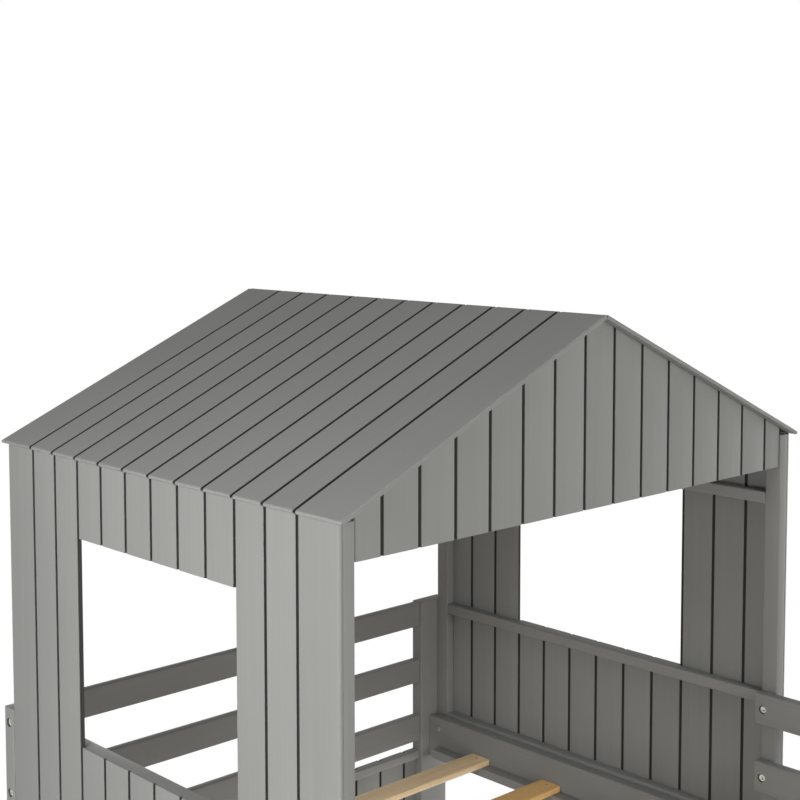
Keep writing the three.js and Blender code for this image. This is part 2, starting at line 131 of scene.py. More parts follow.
class Wiring:
    """Adds nodes to a node tree and links them."""

    def __init__(self, tree: bpy.types.NodeTree) -> None:
        """Keeps the node tree to fill."""
        self.tree = tree

    def add(self, kind: str, settings: dict | None = None, **inputs: object) -> bpy.types.Node:
        """Adds one node.

        Args:
            kind: the node's type name.
            settings: properties of the node itself.
            **inputs: values or output sockets by input name, with _ for a space.

        Returns:
            The new node.
        """
        node = self.tree.nodes.new(kind)
        for name, value in (settings or {}).items():
            setattr(node, name, value)
        for name, value in inputs.items():
            self.feed(node.inputs[name.replace("_", " ")], value)
        return node

    def feed(self, socket: Socket, value: object) -> None:
        """Sets an input socket or links it.

        Args:
            socket: the input socket.
            value: its value, or the output socket that it takes its value from.
        """
        if isinstance(value, bpy.types.NodeSocket):
            self.tree.links.new(value, socket)
        else:
            socket.default_value = value

    def math(self, operation: str, first: object, second: object) -> Socket:
        """Adds a Math node.

        Args:
            operation: what it works out.
            first: its first value or output socket.
            second: its second one.

        Returns:
            The node's output.
        """
        node = self.add("ShaderNodeMath", {"operation": operation})
        self.feed(node.inputs[0], first)
        self.feed(node.inputs[1], second)
        return node.outputs[0]

    def scaled(self, source: Socket, factor: float, offset: float) -> Socket:
        """Adds a Math node that multiplies a value and then adds to it.

        Args:
            source: the value.
            factor: what it is multiplied by.
            offset: what is added.

        Returns:
            The node's output.
        """
        result = self.math("MULTIPLY_ADD", source, factor)
        result.node.inputs[2].default_value = offset
        return result

    def noise(self, vector: Socket, scale: Sequence[float], detail: float) -> Socket:
        """Adds a noise stretched by a scale for each axis.

        Args:
            vector: the coordinates' socket.
            scale: cycles in a metre along X, Y and Z.
            detail: octaves of the noise.

        Returns:
            The noise's value, about 0.5 on average.
        """
        mapping = self.add("ShaderNodeMapping", Vector=vector, Scale=tuple(scale))
        node = self.add(
            "ShaderNodeTexNoise", Vector=mapping.outputs[0], Scale=1.0, Detail=detail
        )
        return node.outputs[0]

    def attribute(self, name: str) -> Socket:
        """Reads a number that the piece's mesh carries under a name."""
        return self.add("ShaderNodeAttribute", {"attribute_name": name}).outputs["Fac"]

    def random(self, low: float, high: float, seed: Socket) -> Socket:
        """Adds a random number for each instance or point.

        Args:
            low: the least value.
            high: the greatest value.
            seed: the seed's socket.

        Returns:
            The number's socket.
        """
        node = self.add("FunctionNodeRandomValue", {"data_type": "FLOAT"})
        for socket in node.inputs:
            if socket.type == "VALUE" and socket.name in ("Min", "Max"):
                socket.default_value = low if socket.name == "Min" else high
            if socket.name == "Seed":
                self.feed(socket, seed)
        return next(socket for socket in node.outputs if socket.type == "VALUE")

    def tint(self, shader: bpy.types.Node, colour: object, value: Socket) -> None:
        """Gives a shader its base colour, which a value lightens or darkens about 1."""
        node = self.add("ShaderNodeHueSaturation", Value=value, Color=colour)
        self.feed(shader.inputs["Base Color"], node.outputs[0])

    def relief(
        self, shader: bpy.types.Node, height: Socket, strength: float, distance: float
    ) -> None:
        """Gives a shader a bump, of which a height of 1 measures the distance."""
        node = self.add("ShaderNodeBump", Height=height, Strength=strength, Distance=distance)
        self.feed(shader.inputs["Normal"], node.outputs[0])


def new_material(name: str) -> tuple[Material, Wiring, bpy.types.Node]:
    """Makes an empty node material with its shader.

    Args:
        name: the material's name.

    Returns:
        The material, its wiring and its Principled shader.
    """
    material = bpy.data.materials.new(name)
    material.use_nodes = True
    material.node_tree.nodes.clear()
    wiring = Wiring(material.node_tree)
    shader = wiring.add("ShaderNodeBsdfPrincipled")
    wiring.add("ShaderNodeOutputMaterial", Surface=shader.outputs[0])
    return material, wiring, shader


def run_scale(run: Run, across: float, along: float) -> tuple[float, float, float]:
    """Gives a pattern's scale for each axis: one across the grain and one along it."""
    return tuple(along if runs else across for runs in run.value)


@dataclass(frozen=True)
class Grain:
    """A noise drawn out along the grain: its cycles in a metre each way, and its octaves."""

    across: float
    along: float
    detail: float

    def lay(self, wiring: Wiring, place: Socket, run: Run) -> Socket:
        """Adds the noise for a way that the grain runs and returns its value."""
        return wiring.noise(place, run_scale(run, self.across, self.along), self.detail)


@dataclass(frozen=True)
class SatinPaint:
    """Warm grey satin paint over planed softwood, whose grain shows faintly through it.

    Inside the slots the colour is darkened by painted shade, as the slots lie in shadow.
    """

    name: str
    colour: Colour = (0.272, 0.273, 0.262)
    gloss: float = 0.06
    roughness: float = 0.56
    roughness_spread: float = 0.16
    brush: Grain = Grain(900.0, 7.0, 3.0)
    grain: Grain = Grain(130.0, 2.2, 4.0)
    cloud: Grain = Grain(4.0, 4.0, 2.0)
    brush_tone: float = 0.035
    grain_tone: float = 0.055
    cloud_tone: float = 0.06
    board_tone: float = 0.022
    # Painted shade that darkens the paint inside the slots
    slot_shade_tone: float = -0.85
    brush_relief: float = 0.6
    bump: float = 0.32
    bump_height: float = 0.12 * MM

    def material(self, run: Run) -> Material:
        """Builds the finish for one direction of grain.

        Args:
            run: the way that the grain runs.

        Returns:
            The finished material.
        """
        material, wiring, shader = new_material(f"{self.name}_{run.name.lower()}")
        place = wiring.add("ShaderNodeTexCoord").outputs["Object"]
        brush, grain, cloud = (
            pattern.lay(wiring, place, run) for pattern in (self.brush, self.grain, self.cloud)
        )
        value = wiring.scaled(wiring.attribute(TONE), self.board_tone, 1.0)
        for source, share in (
            (brush, self.brush_tone),
            (grain, self.grain_tone),
            (cloud, self.cloud_tone),
        ):
            swing = wiring.math("SUBTRACT", source, NOISE_MIDDLE)
            value = wiring.math("ADD", value, wiring.math("MULTIPLY", swing, share * 2))
        # Painted shade: the paint inside the slots is darkened by the mesh's slot attribute
        slot_shade_factor = wiring.scaled(wiring.attribute(SLOT_SHADE), self.slot_shade_tone, 1.0)
        wiring.tint(shader, (*self.colour, 1.0), wiring.math("MULTIPLY", value, slot_shade_factor))
        smoothest = self.roughness - self.roughness_spread / 2
        rough = wiring.scaled(grain, self.roughness_spread, smoothest)
        wiring.feed(shader.inputs["Roughness"], rough)
        height = wiring.math("ADD", wiring.math("MULTIPLY", brush, self.brush_relief), grain)
        wiring.relief(shader, height, self.bump, self.bump_height)
        shader.inputs["Specular IOR Level"].default_value = self.gloss
        return material


@dataclass(frozen=True)
class BarePine:
    """Planed pine: pale early wood, darker late wood in long bands, and small knots.

    Each board leans to the pale or to the warm colour by its tone, and a figure across the
    grain and fine fibres along it lighten and darken the whole.
    """

    name: str
    pale: Colour = (0.93, 0.71, 0.45)
    warm: Colour = (0.93, 0.57, 0.22)
    late: Colour = (0.74, 0.42, 0.16)
    knot: Colour = (0.22, 0.10, 0.04)
    roughness: float = 0.52
    roughness_spread: float = 0.12
    band: Grain = Grain(42.0, 1.3, 2.0)
    band_waves: float = 46.0
    band_sharpness: float = 2.4
    band_share: float = 0.34
    fibre: Grain = Grain(700.0, 9.0, 4.0)
    fibre_tone: float = 0.3
    figure: Grain = Grain(28.0, 95.0, 1.0)
    figure_tone: float = 0.16
    base_tone: float = 0.87
    cloud_scale: tuple[float, float, float] = (5.0, 3.0, 5.0)
    cloud_detail: float = 2.0
    board_lean: float = 0.9
    board_shift: float = 7.0
    knot_across: float = 17.0
    knot_along: float = 6.0
    knot_rim: float = 0.1
    knot_core: float = 0.02
    bump: float = 0.35
    bump_height: float = 0.2 * MM

    def material(self, run: Run) -> Material:
        """Builds the finish for one direction of grain.

        Args:
            run: the way that the grain runs.

        Returns:
            The finished material.
        """
        material, wiring, shader = new_material(f"{self.name}_{run.name.lower()}")
        tone = wiring.attribute(TONE)
        place = self.moved_by(wiring, tone)
        waves = wiring.math("MULTIPLY", self.band.lay(wiring, place, run), self.band_waves)
        bands = wiring.scaled(wiring.math("SINE", waves, 0.0), 0.5, 0.5)
        cloud = wiring.noise(place, self.cloud_scale, self.cloud_detail)
        lean = wiring.math("ADD", wiring.math("MULTIPLY", tone, self.board_lean), cloud)
        ground = self.blend(wiring, lean, self.pale, self.warm)
        peaks = wiring.math("POWER", bands, self.band_sharpness)
        streak = wiring.math("MULTIPLY", peaks, self.band_share)
        colour = self.blend(wiring, streak, ground, self.late)
        colour = self.blend(wiring, self.knots(wiring, place, run), colour, self.knot)
        fibre = self.fibre.lay(wiring, place, run)
        figure = self.figure.lay(wiring, place, run)
        light = wiring.scaled(fibre, self.fibre_tone, self.base_tone - self.figure_tone / 2)
        light = wiring.math("ADD", light, wiring.math("MULTIPLY", figure, self.figure_tone))
        wiring.tint(shader, colour, light)
        rough = wiring.scaled(bands, self.roughness_spread, self.roughness)
        wiring.feed(shader.inputs["Roughness"], rough)
        wiring.relief(shader, fibre, self.bump, self.bump_height)
        return material

    def moved_by(self, wiring: Wiring, tone: Socket) -> Socket:
        """Gives the object's coordinates, moved for each board so that no two look the same.

        Args:
            wiring: the material's wiring.
            tone: the board's tone.

        Returns:
            The coordinates' socket.
        """
        along = wiring.math("MULTIPLY", tone, self.board_shift)
        apart = wiring.add("ShaderNodeCombineXYZ", X=tone, Y=along)
        moved = wiring.add("ShaderNodeVectorMath", {"operation": "ADD"})
        wiring.feed(moved.inputs[0], wiring.add("ShaderNodeTexCoord").outputs["Object"])
        wiring.feed(moved.inputs[1], apart.outputs[0])
        return moved.outputs[0]

    def knots(self, wiring: Wiring, place: Socket, run: Run) -> Socket:
        """Scatters knots.

        Args:
            wiring: the material's wiring.
            place: the coordinates' socket.
            run: the way that the grain runs.

        Returns:
            A value that is 1 inside a knot and 0 around it.
        """
        scale = run_scale(run, self.knot_across, self.knot_along)
        mapping = wiring.add("ShaderNodeMapping", Vector=place, Scale=scale)
        cells = wiring.add("ShaderNodeTexVoronoi", Vector=mapping.outputs[0], Scale=1.0)
        core = wiring.add(
            "ShaderNodeMapRange",
            Value=cells.outputs["Distance"],
            From_Min=self.knot_rim,
            From_Max=self.knot_core,
        )
        return core.outputs[0]

    @staticmethod
    def blend(wiring: Wiring, share: Socket, first: object, second: object) -> Socket:
        """Mixes two colours.

        Args:
            wiring: the material's wiring.
            share: the share of the second colour.
            first: a colour or its socket.
            second: the other one.

        Returns:
            The mixed colour's socket.
        """
        node = wiring.add("ShaderNodeMix", {"data_type": "RGBA", "clamp_factor": True})
        for socket, value in ((node.inputs[6], first), (node.inputs[7], second)):
            wiring.feed(socket, (*value, 1.0) if isinstance(value, tuple) else value)
        wiring.feed(node.inputs[0], share)
        return node.outputs[2]


@dataclass(frozen=True)
class Zinc:
    """Bright zinc plating on bolts, nuts and screws, with a fine cloudy passivation."""

    name: str
    colour: Colour = (0.74, 0.75, 0.70)
    roughness: float = 0.24
    roughness_spread: float = 0.2
    cloud: float = 350.0
    cloud_detail: float = 3.0
    cloud_tone: float = 0.4

    def material(self) -> Material:
        """Builds the plating.

        Returns:
            The finished material.
        """
        material, wiring, shader = new_material(self.name)
        place = wiring.add("ShaderNodeTexCoord").outputs["Object"]
        cloud = wiring.noise(place, (self.cloud,) * 3, self.cloud_detail)
        value = wiring.scaled(cloud, self.cloud_tone, 1 - self.cloud_tone / 2)
        wiring.tint(shader, (*self.colour, 1.0), value)
        smoothest = self.roughness - self.roughness_spread / 2
        rough = wiring.scaled(cloud, self.roughness_spread, smoothest)
        wiring.feed(shader.inputs["Roughness"], rough)
        shader.inputs["Metallic"].default_value = 1.0
        return material


class Finishes:
    """The bed's finishes, each built once for each direction of grain."""

    def __init__(self) -> None:
        """Names the finishes and builds the plating, which has no grain."""
        self.frame_paint = SatinPaint("frame_paint")
        self.board_paint = SatinPaint("board_paint", grain_tone=0.05, board_tone=0.03)
        self.pine = BarePine("slat_pine")
        # The bores' walls: wood stained by paint that runs in, darkened further by painted shade in
        # the recess
        self.bore_wood = BarePine(
            "bore_wood", pale=(0.12, 0.11, 0.09), warm=(0.11, 0.09, 0.07), late=(0.07, 0.06, 0.04)
        )
        self.zinc = Zinc("zinc_plate").material()
        self.made: dict[tuple[str, Run], Material] = {}

    def of(self, finish: SatinPaint | BarePine, run: Run) -> Material:
        """Gives a finish's material, made on first use.

        Args:
            finish: the paint or the wood.
            run: the way that the grain runs.

        Returns:
            The material.
        """
        key = (finish.name, run)
        if key not in self.made:
            self.made[key] = finish.material(run)
        return self.made[key]

    def frame(self, run: Run) -> Material:
        """Gives the frame's paint for one direction of grain."""
        return self.of(self.frame_paint, run)


@dataclass(frozen=True)
class Place:
    """Where a board is drawn: across its row, inwards from its outer face, and along it."""

    origin: Vector
    across: Vector
    inwards: Vector
    along: Vector

    def at(self, across: float, depth: float, length: float) -> Vector:
        """Gives the point at three distances from the origin."""
        return self.origin + self.across * across + self.inwards * depth + self.along * length

    def moved(self, across: float = 0.0, along: float = 0.0) -> "Place":
        """Gives the same place, moved across the row and along it."""
        return Place(self.at(across, 0.0, along), self.across, self.inwards, self.along)


class Body:
    """A mesh under way, to which closed solids are added."""

    def __init__(self) -> None:
        """Starts an empty mesh."""
        self.mesh = bmesh.new()
        # Each loop carries how much painted shade darkens it inside a slot
        self.slot_shade = self.mesh.loops.layers.float.new(SLOT_SHADE)

    def loft(
        self, rings: Sequence[Sequence[Vector]], slot_shade: Sequence[float] | None = None
    ) -> None:
        """Adds a closed solid whose skin runs through rings of equally many points.

        Args:
            rings: the rings in order; the first and last are capped.
            slot_shade: how much painted shade darkens each point of a ring inside a slot,
            or none for no shade; the caps get none.
        """
        made = [[self.mesh.verts.new(point) for point in ring] for ring in rings]
        count = len(made[0])
        slot_shades = slot_shade or [0.0] * count
        self.mesh.faces.new(made[0])
        self.mesh.faces.new(reversed(made[-1]))
        for low, high in zip(made, made[1:]):
            for i in range(count):
                j = (i + 1) % count
                skin = self.mesh.faces.new((low[i], low[j], high[j], high[i]))
                for corner, share in zip(skin.loops, (slot_shades[i], slot_shades[j], slot_shades[j], slot_shades[i])):
                    corner[self.slot_shade] = share

    def finish(self, name: str, *materials: Material) -> Piece:
        """Turns the mesh into an object with outward faces.

        Args:
            name: the object's name.
            *materials: its material slots in order.

        Returns:
            The object, linked to the scene.
        """
        bmesh.ops.recalc_face_normals(self.mesh, faces=self.mesh.faces)
        data = bpy.data.meshes.new(name)
        self.mesh.to_mesh(data)
        self.mesh.free()
        for material in materials:
            data.materials.append(material)
        made = bpy.data.objects.new(name, data)
        bpy.context.scene.collection.objects.link(made)
        return made


def shade(piece: Piece, sharp_degrees: float = 38.0) -> None:
    """Smooths a mesh's shading except over sharp edges.

    Args:
        piece: the mesh object.
        sharp_degrees: the angle over which an edge stays sharp.
    """
    data = piece.data
    data.polygons.foreach_set("use_smooth", [True] * len(data.polygons))
    data.set_sharp_from_angle(angle=math.radians(sharp_degrees))
    data.update()


def bake_modifiers(piece: Piece) -> None:
    """Replaces an object's mesh by its evaluated one and removes its modifiers.

    Args:
        piece: the mesh object.
    """
    depsgraph = bpy.context.evaluated_depsgraph_get()
    data = bpy.data.meshes.new_from_object(
        piece.evaluated_get(depsgraph), preserve_all_data_layers=True, depsgraph=depsgraph
    )
    piece.modifiers.clear()
    old, piece.data = piece.data, data
    bpy.data.meshes.remove(old)
    data.name = piece.name


def discard(*helpers: Piece | None) -> None:
    """Removes helper objects and their meshes.

    Args:
        *helpers: the objects, where None stands for one that was never made.
    """
    for helper in helpers:
        if helper is not None:
            data = helper.data
            bpy.data.objects.remove(helper)
            bpy.data.meshes.remove(data)


def settle(piece: Piece, slot: Slot | None, *nodes: str) -> Piece:
    """Hands a finished piece to the frame.

    Args:
        piece: the finished mesh object.
        slot: the record's slot for its finish, if any; not used.
        *nodes: the CAD nodes that it stands for.

    Returns:
        The same piece.
    """
    shade(piece)
    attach(piece, BODY)
    if nodes:
        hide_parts(*nodes)
    LOG.info("%s: %d faces, for %s", piece.name, len(piece.data.polygons), nodes or "itself")
    return piece


class ModifierTree:
    """A Geometry Nodes tree with named inputs, which turns a piece into a plain mesh."""

    def __init__(self, name: str, inputs: dict[str, str]) -> None:
        """Builds the tree's sockets and keeps their identifiers by name.

        Args:
            name: the tree's name.
            inputs: each further input's socket type by its name.
        """
        self.tree = bpy.data.node_groups.new(name, "GeometryNodeTree")
        self.tree.is_modifier = True
        sockets = self.tree.interface
        kinds = {"Geometry": "NodeSocketGeometry", **inputs, "Finish": "NodeSocketMaterial"}
        self.ids = {
            title: sockets.new_socket(title, in_out="INPUT", socket_type=kind).identifier
            for title, kind in kinds.items()
        }
        sockets.new_socket("Geometry", in_out="OUTPUT", socket_type="NodeSocketGeometry")
        self.wiring = Wiring(self.tree)
        self.given = self.wiring.add("NodeGroupInput").outputs

    def end_with(self, geometry: Socket) -> None:
        """Ends the tree: the copies become one mesh and get their material.

        Args:
            geometry: the socket that gives the copies.
        """
        real = self.wiring.add("GeometryNodeRealizeInstances", Geometry=geometry)
        dressed = self.wiring.add(
            "GeometryNodeSetMaterial", Geometry=real.outputs[0], Material=self.given["Finish"]
        )
        self.wiring.add("NodeGroupOutput", Geometry=dressed.outputs[0])

    def run_on(self, piece: Piece, values: dict[str, object]) -> None:
        """Runs the tree on a piece and leaves its result as a plain mesh.

        Args:
            piece: the piece.
            values: the inputs' values by name.
        """
        modifier = piece.modifiers.new(self.tree.name, "NODES")
        modifier.node_group = self.tree
        for title, value in values.items():
            modifier[self.ids[title]] = value
        bake_modifiers(piece)


class RowTree(ModifierTree):
    """Repeats a piece by a step, between two others at the row's ends.

    Each copy carries a random tone, which its material reads.
    """

    def __init__(self) -> None:
        """Builds the tree."""
        super().__init__("row_of_pieces", {
            "First Piece": "NodeSocketObject",
            "Last Piece": "NodeSocketObject",
            "Count": "NodeSocketInt",
            "Step": "NodeSocketVector",
            "Seed": "NodeSocketInt",
        })
        wiring, given = self.wiring, self.given
        line = wiring.add("GeometryNodeMeshLine", {"mode": "OFFSET"}, Count=given["Count"])
        wiring.feed(line.inputs["Offset"], given["Step"])
        copies = wiring.add(
            "GeometryNodeInstanceOnPoints", Points=line.outputs[0], Instance=given["Geometry"]
        )
        everything = wiring.add("GeometryNodeJoinGeometry")
        for title in ("First Piece", "Last Piece"):
            held = wiring.add("GeometryNodeObjectInfo", Object=given[title])
            single = wiring.add(
                "GeometryNodeGeometryToInstance", Geometry=held.outputs["Geometry"]
            )
            wiring.feed(everything.inputs[0], single.outputs[0])
        wiring.feed(everything.inputs[0], copies.outputs[0])
        toned = wiring.add(
            "GeometryNodeStoreNamedAttribute",
            {"data_type": "FLOAT", "domain": "INSTANCE"},
            Geometry=everything.outputs[0],
            Name=TONE,
            Value=wiring.random(-1.0, 1.0, given["Seed"]),
        )
        self.end_with(toned.outputs[0])

    def repeat(
        self,
        piece: Piece,
        count: int,
        step: Vector,
        seed: int,
        finish: Material,
        ends: tuple[Piece | None, Piece | None] = (None, None),
    ) -> Piece:
        """Turns one piece into a row of copies as one plain mesh.

        Args:
            piece: the piece, drawn where the first copy lies.
            count: how many copies there are.
            step: the way from one copy to the next.
            seed: the seed of the copies' tones.
            finish: their material.
            ends: other pieces at the row's start and end, used up by the row.

        Returns:
            The piece's object, which now holds the row.
        """
        self.run_on(piece, {
            "First Piece": ends[0],
            "Last Piece": ends[1],
            "Count": count,
            "Step": list(step),
            "Seed": seed,
            "Finish": finish,
        })
        discard(*ends)
        return piece


class FastenerTree(ModifierTree):
    """Sets a fastener on each point, turned the way that the point says."""

    def __init__(self) -> None:
        """Builds the tree."""
        super().__init__(
            "set_of_fasteners", {"Fastener": "NodeSocketObject", "Seed": "NodeSocketInt"}
        )
        wiring, given = self.wiring, self.given
        way = wiring.add(
            "GeometryNodeInputNamedAttribute", {"data_type": "FLOAT_VECTOR"}, Name=WAY
        )
        aimed = wiring.add(
            "FunctionNodeAlignRotationToVector", {"axis": "Z"}, Vector=way.outputs[0]
        )
        angle = wiring.random(0.0, math.tau, given["Seed"])
        twist = wiring.add("FunctionNodeAxisAngleToRotation", Angle=angle)
        turned = wiring.add("FunctionNodeRotateRotation", {"rotation_space": "LOCAL"})
        wiring.feed(turned.inputs[0], aimed.outputs[0])
        wiring.feed(turned.inputs[1], twist.outputs[0])
        held = wiring.add("GeometryNodeObjectInfo", Object=given["Fastener"])
        copies = wiring.add(
            "GeometryNodeInstanceOnPoints",
            Points=given["Geometry"],
            Instance=held.outputs["Geometry"],
            Rotation=turned.outputs[0],
        )
        self.end_with(copies.outputs[0])

    def set_on(
        self,
        name: str,
        places: Sequence[Seat],
        fastener: Piece,
        seed: int,
        finish: Material,
    ) -> Piece:
        """Sets copies of a fastener and returns them as one plain mesh.

        Args:
            name: the new object's name.
            places: each fastener's point and the way that its head faces.
            fastener: the fastener, drawn at the origin with its head towards +Z.
            seed: the seed of their turns.
            finish: their material.

        Returns:
            The new object.
        """
        data = bpy.data.meshes.new(name)
        data.from_pydata([point for point, _ in places], [], [])
        ways = data.attributes.new(WAY, "FLOAT_VECTOR", "POINT")
        for entry, (_, way) in zip(ways.data, places):
            entry.vector = way
        made = bpy.data.objects.new(name, data)
        bpy.context.scene.collection.objects.link(made)
        self.run_on(made, {"Fastener": fastener, "Seed": seed, "Finish": finish})
        return made


@dataclass(frozen=True)
class BoardSection:
    """The section of a tongued board, with an open slot at each seam on both faces."""

    thickness: float = 7 * MM
    slot_width: float = 6.0 * MM
    slot_depth: float = 2.7 * MM
    slot_draft: float = 0.12 * MM
    arris: float = 0.45 * MM
    tongue_reach: float = 4.0 * MM
    tongue_play: float = 0.12 * MM
    free_round: float = 5.4 * MM
    back_round: float = 0.8 * MM
    # Painted shade on a slot's lip; the slot's walls and floor get full painted shade
    lip_slot_shade: float = 0.75
    steps: int = 5

    def edge(self, kind: BoardEdge) -> list[Trace]:
        """Draws a board's edge from its face to its back.

        Args:
            kind: how the board ends.

        Returns:
            Points as distance short of the edge line, depth under the face and how much
            painted shade darkens the point inside a slot.
        """
        back = self.thickness
        if kind is BoardEdge.FREE:
            face = self.quarter(self.free_round)
            rear = self.quarter(self.back_round)
            return [(x, depth, 0.0) for x, depth in face] + [
                (x, back - depth, 0.0) for x, depth in reversed(rear)
            ]
        half = self.slot_width / 2
        foot = half - self.slot_draft
        low, high = self.slot_depth, back - self.slot_depth
        lip = [
            (half + x, depth, self.lip_slot_shade * (depth > 0))
            for x, depth in self.quarter(self.arris)
        ]
        tail = [(x, back - depth, slot_shade) for x, depth, slot_shade in reversed(lip)]
        if kind is BoardEdge.TONGUE:
            tip, play = -self.tongue_reach, self.tongue_play
            inner = [(tip, low + play, 1.0), (tip, high - play, 1.0)]
        else:
            bottom = self.tongue_reach + self.tongue_play
            inner = [(bottom, low, 1.0), (bottom, high, 1.0)]
        return [*lip, (foot, low, 1.0), *inner, (foot, high, 1.0), *tail]

    def quarter(self, radius: float) -> list[Point]:
        """Draws a quarter round from the face to the edge line."""
        turns = quarter_turns(self.steps)
        return [(radius * (1 - math.sin(t)), radius * (1 - math.cos(t))) for t in turns]

    def outline(self, width: float, left: BoardEdge, right: BoardEdge) -> list[Trace]:
        """Draws a board's whole section.

        Args:
            width: from edge line to edge line.
            left: the edge at the row's start.
            right: the edge towards the row's end.

        Returns:
            Points as place across the board, depth under the face and the painted shade in a slot.
        """
        start = list(reversed(self.edge(left)))
        end = [(width - inset, depth, slot_shade) for inset, depth, slot_shade in self.edge(right)]
        return start + end


@dataclass
class Planking:
    """Rows of tongued boards, made from one section."""

    rows: RowTree
    finishes: Finishes
    section: BoardSection = field(default_factory=BoardSection)
    round_steps: int = 7
    first_step: float = 0.35

    def board(
        self,
        name: str,
        place: Place,
        offset: float,
        width: float,
        length: float,
        edges: tuple[BoardEdge, BoardEdge],
        rounded: bool = False,
    ) -> Piece:
        """Makes one board.

        Args:
            name: the object's name.
            place: the row's place.
            offset: the board's start across the row.
            width: its width between edge lines.
            length: its length.
            edges: its left and right edges.
            rounded: whether its two ends are half round.

        Returns:
            The board's object, without a material.
        """
        outline = self.section.outline(width, *edges)
        middle = self.section.thickness / 2
        rings = [
            [
                place.at(offset + x, middle + max(-half, min(half, depth - middle)), run)
                for x, depth, _ in outline
            ]
            for half, run in self.stations(length, rounded)
        ]
        body = Body()
        # The boards' loops carry painted shade inside their slots
        body.loft(rings, [slot_shade for _, _, slot_shade in outline])
        return body.finish(name)

    def stations(self, length: float, rounded: bool) -> list[Point]:
        """Lists a board's rings as half of the thickness there and the place along the board.

        Args:
            length: the board's length.
            rounded: whether its two ends are half round, or else cut square.

        Returns:
            Pairs of half thickness and place.
        """
        radius = self.section.thickness / 2
        if not rounded:
            return [(radius, 0.0), (radius, length)]
        whole = self.round_steps + self.first_step
        curve = []
        for i in range(self.round_steps + 1):
            angle = (i + self.first_step) / whole * math.pi / 2
            curve.append((radius * math.sin(angle), radius * (1 - math.cos(angle))))
        return curve + [(half, length - run) for half, run in reversed(curve)]

    def row(
        self,
        name: str,
        place: Place,
        widths: tuple[float, float, float],
        count: int,
        length: float,
        ends: tuple[BoardEdge, BoardEdge],
        seed: int,
        run: Run,
        rounded: bool = False,
    ) -> Piece:
        """Makes a row of boards as one mesh.

        Args:
            name: the object's name.
            place: the row's start at its outer face.
            widths: of the first board, of each board between, and of the last one.
            count: how many boards there are in all.
            length: the boards' length.
            ends: the row's own left and right edges.
            seed: the seed of the boards' tones.
            run: the way that their grain runs.
            rounded: whether the boards' ends are half round.

        Returns:
            The row's object.
        """
        first, pitch, last = widths
        slot, tongue = BoardEdge.SLOT, BoardEdge.TONGUE
        start = self.board(f"{name}_start", place, 0.0, first, length, (ends[0], tongue), rounded)
        end_place = first + (count - 2) * pitch
        end = self.board(f"{name}_end", place, end_place, last, length, (slot, ends[1]), rounded)
        middle = self.board(name, place, first, pitch, length, (slot, tongue), rounded)
        paint = self.finishes.of(self.finishes.board_paint, run)
        return self.rows.repeat(middle, count - 2, place.across * pitch, seed, paint, (start, end))

    def panel(
        self,
        name: str,
        place: Place,
        width: float,
        pitch: float,
        count: int,
        length: float,
        seed: int,
        run: Run,
        rounded: bool = False,
    ) -> Piece:
        """Makes a row with free sides, whose first and last boards share what is left over.

        Args:
            name: the object's name.
            place: the row's start at its outer face.
            width: the row's whole width.
            pitch: the width of each board between.
            count: how many boards there are in all.
            length: the boards' length.
            seed: the seed of the boards' tones.
            run: the way that their grain runs.
            rounded: whether the boards' ends are half round.

        Returns:
            The row's object.
        """
        edge = (width - (count - 2) * pitch) / 2
        free = (BoardEdge.FREE, BoardEdge.FREE)
        return self.row(name, place, (edge, pitch, edge), count, length, free, seed, run, rounded)


@dataclass(frozen=True)
class PlanedBar:
    """A planed bar with rounded long edges and eased ends."""

    radius: float = 3 * MM
    end_ease: float = 1.6 * MM
    plan_radius: float = 0.0
    steps: int = 5
    place_digits: int = 7

    def rings(self, corner: Vector, opposite: Vector) -> list[list[Vector]]:
        """Draws the bar's rings inside a box, along the box's longest side.

        Args:
            corner: any corner of the box.
            opposite: the corner opposite to it.

        Returns:
            The rings from one end to the other.
        """
        size = [abs(reach) for reach in opposite - corner]
        rise, side, axis = sorted((2, 1, 0), key=lambda i: size[i])
        middle = (corner + opposite) / 2
        half = size[axis] / 2
        runs = self.end_runs()
        stations = [-half + run for run in runs] + [half - run for run in reversed(runs)]
        rings = []
        for station in stations:
            left = half - abs(station)
            width = size[side] - 2 * self.drawn_in(left, self.plan_radius)
            ring = []
            for x, y in self.section(width, size[rise], self.drawn_in(left, self.end_ease)):
                point = middle.copy()
                point[axis] += station
                point[side] += x
                point[rise] += y
                ring.append(point)
            rings.append(ring)
        return rings

    def end_runs(self) -> list[float]:
        """Lists the places of an end's rings.

        Returns:
            Distances from the end, which begin at 0 and name no place twice.
        """
        turns = quarter_turns(self.steps)
        radii = {self.end_ease, max(self.plan_radius, self.end_ease)}
        return sorted({
            round(radius * (1 - math.cos(t)), self.place_digits) for radius in radii for t in turns
        })

    @staticmethod
    def drawn_in(run: float, radius: float) -> float:
        """Gives how far a quarter round draws a side in.

        Args:
            run: the distance from the end.
            radius: the quarter round's radius.

        Returns:
            The distance that the side lies inside its full width.
        """
        if run >= radius:
            return 0.0
        return radius - math.sqrt(radius ** 2 - (radius - run) ** 2)

    def section(self, width: float, height: float, inset: float) -> list[Point]:
        """Draws a rounded rectangle.

        Args:
            width: its full width.
            height: its full height.
            inset: how far it is drawn in on all sides.

        Returns:
            Its points about its middle.
        """
        radius = self.radius - inset * self.radius / (self.radius + self.end_ease)
        x, y = width / 2 - inset - radius, height / 2 - inset - radius
        points = []
        for quarter, (right, up) in enumerate(((1, 1), (-1, 1), (-1, -1), (1, -1))):
            for i in range(self.steps + 1):
                turn = (quarter + i / self.steps) * math.pi / 2
                reach, rise = radius * math.cos(turn), radius * math.sin(turn)
                points.append((right * x + reach, up * y + rise))
        return points


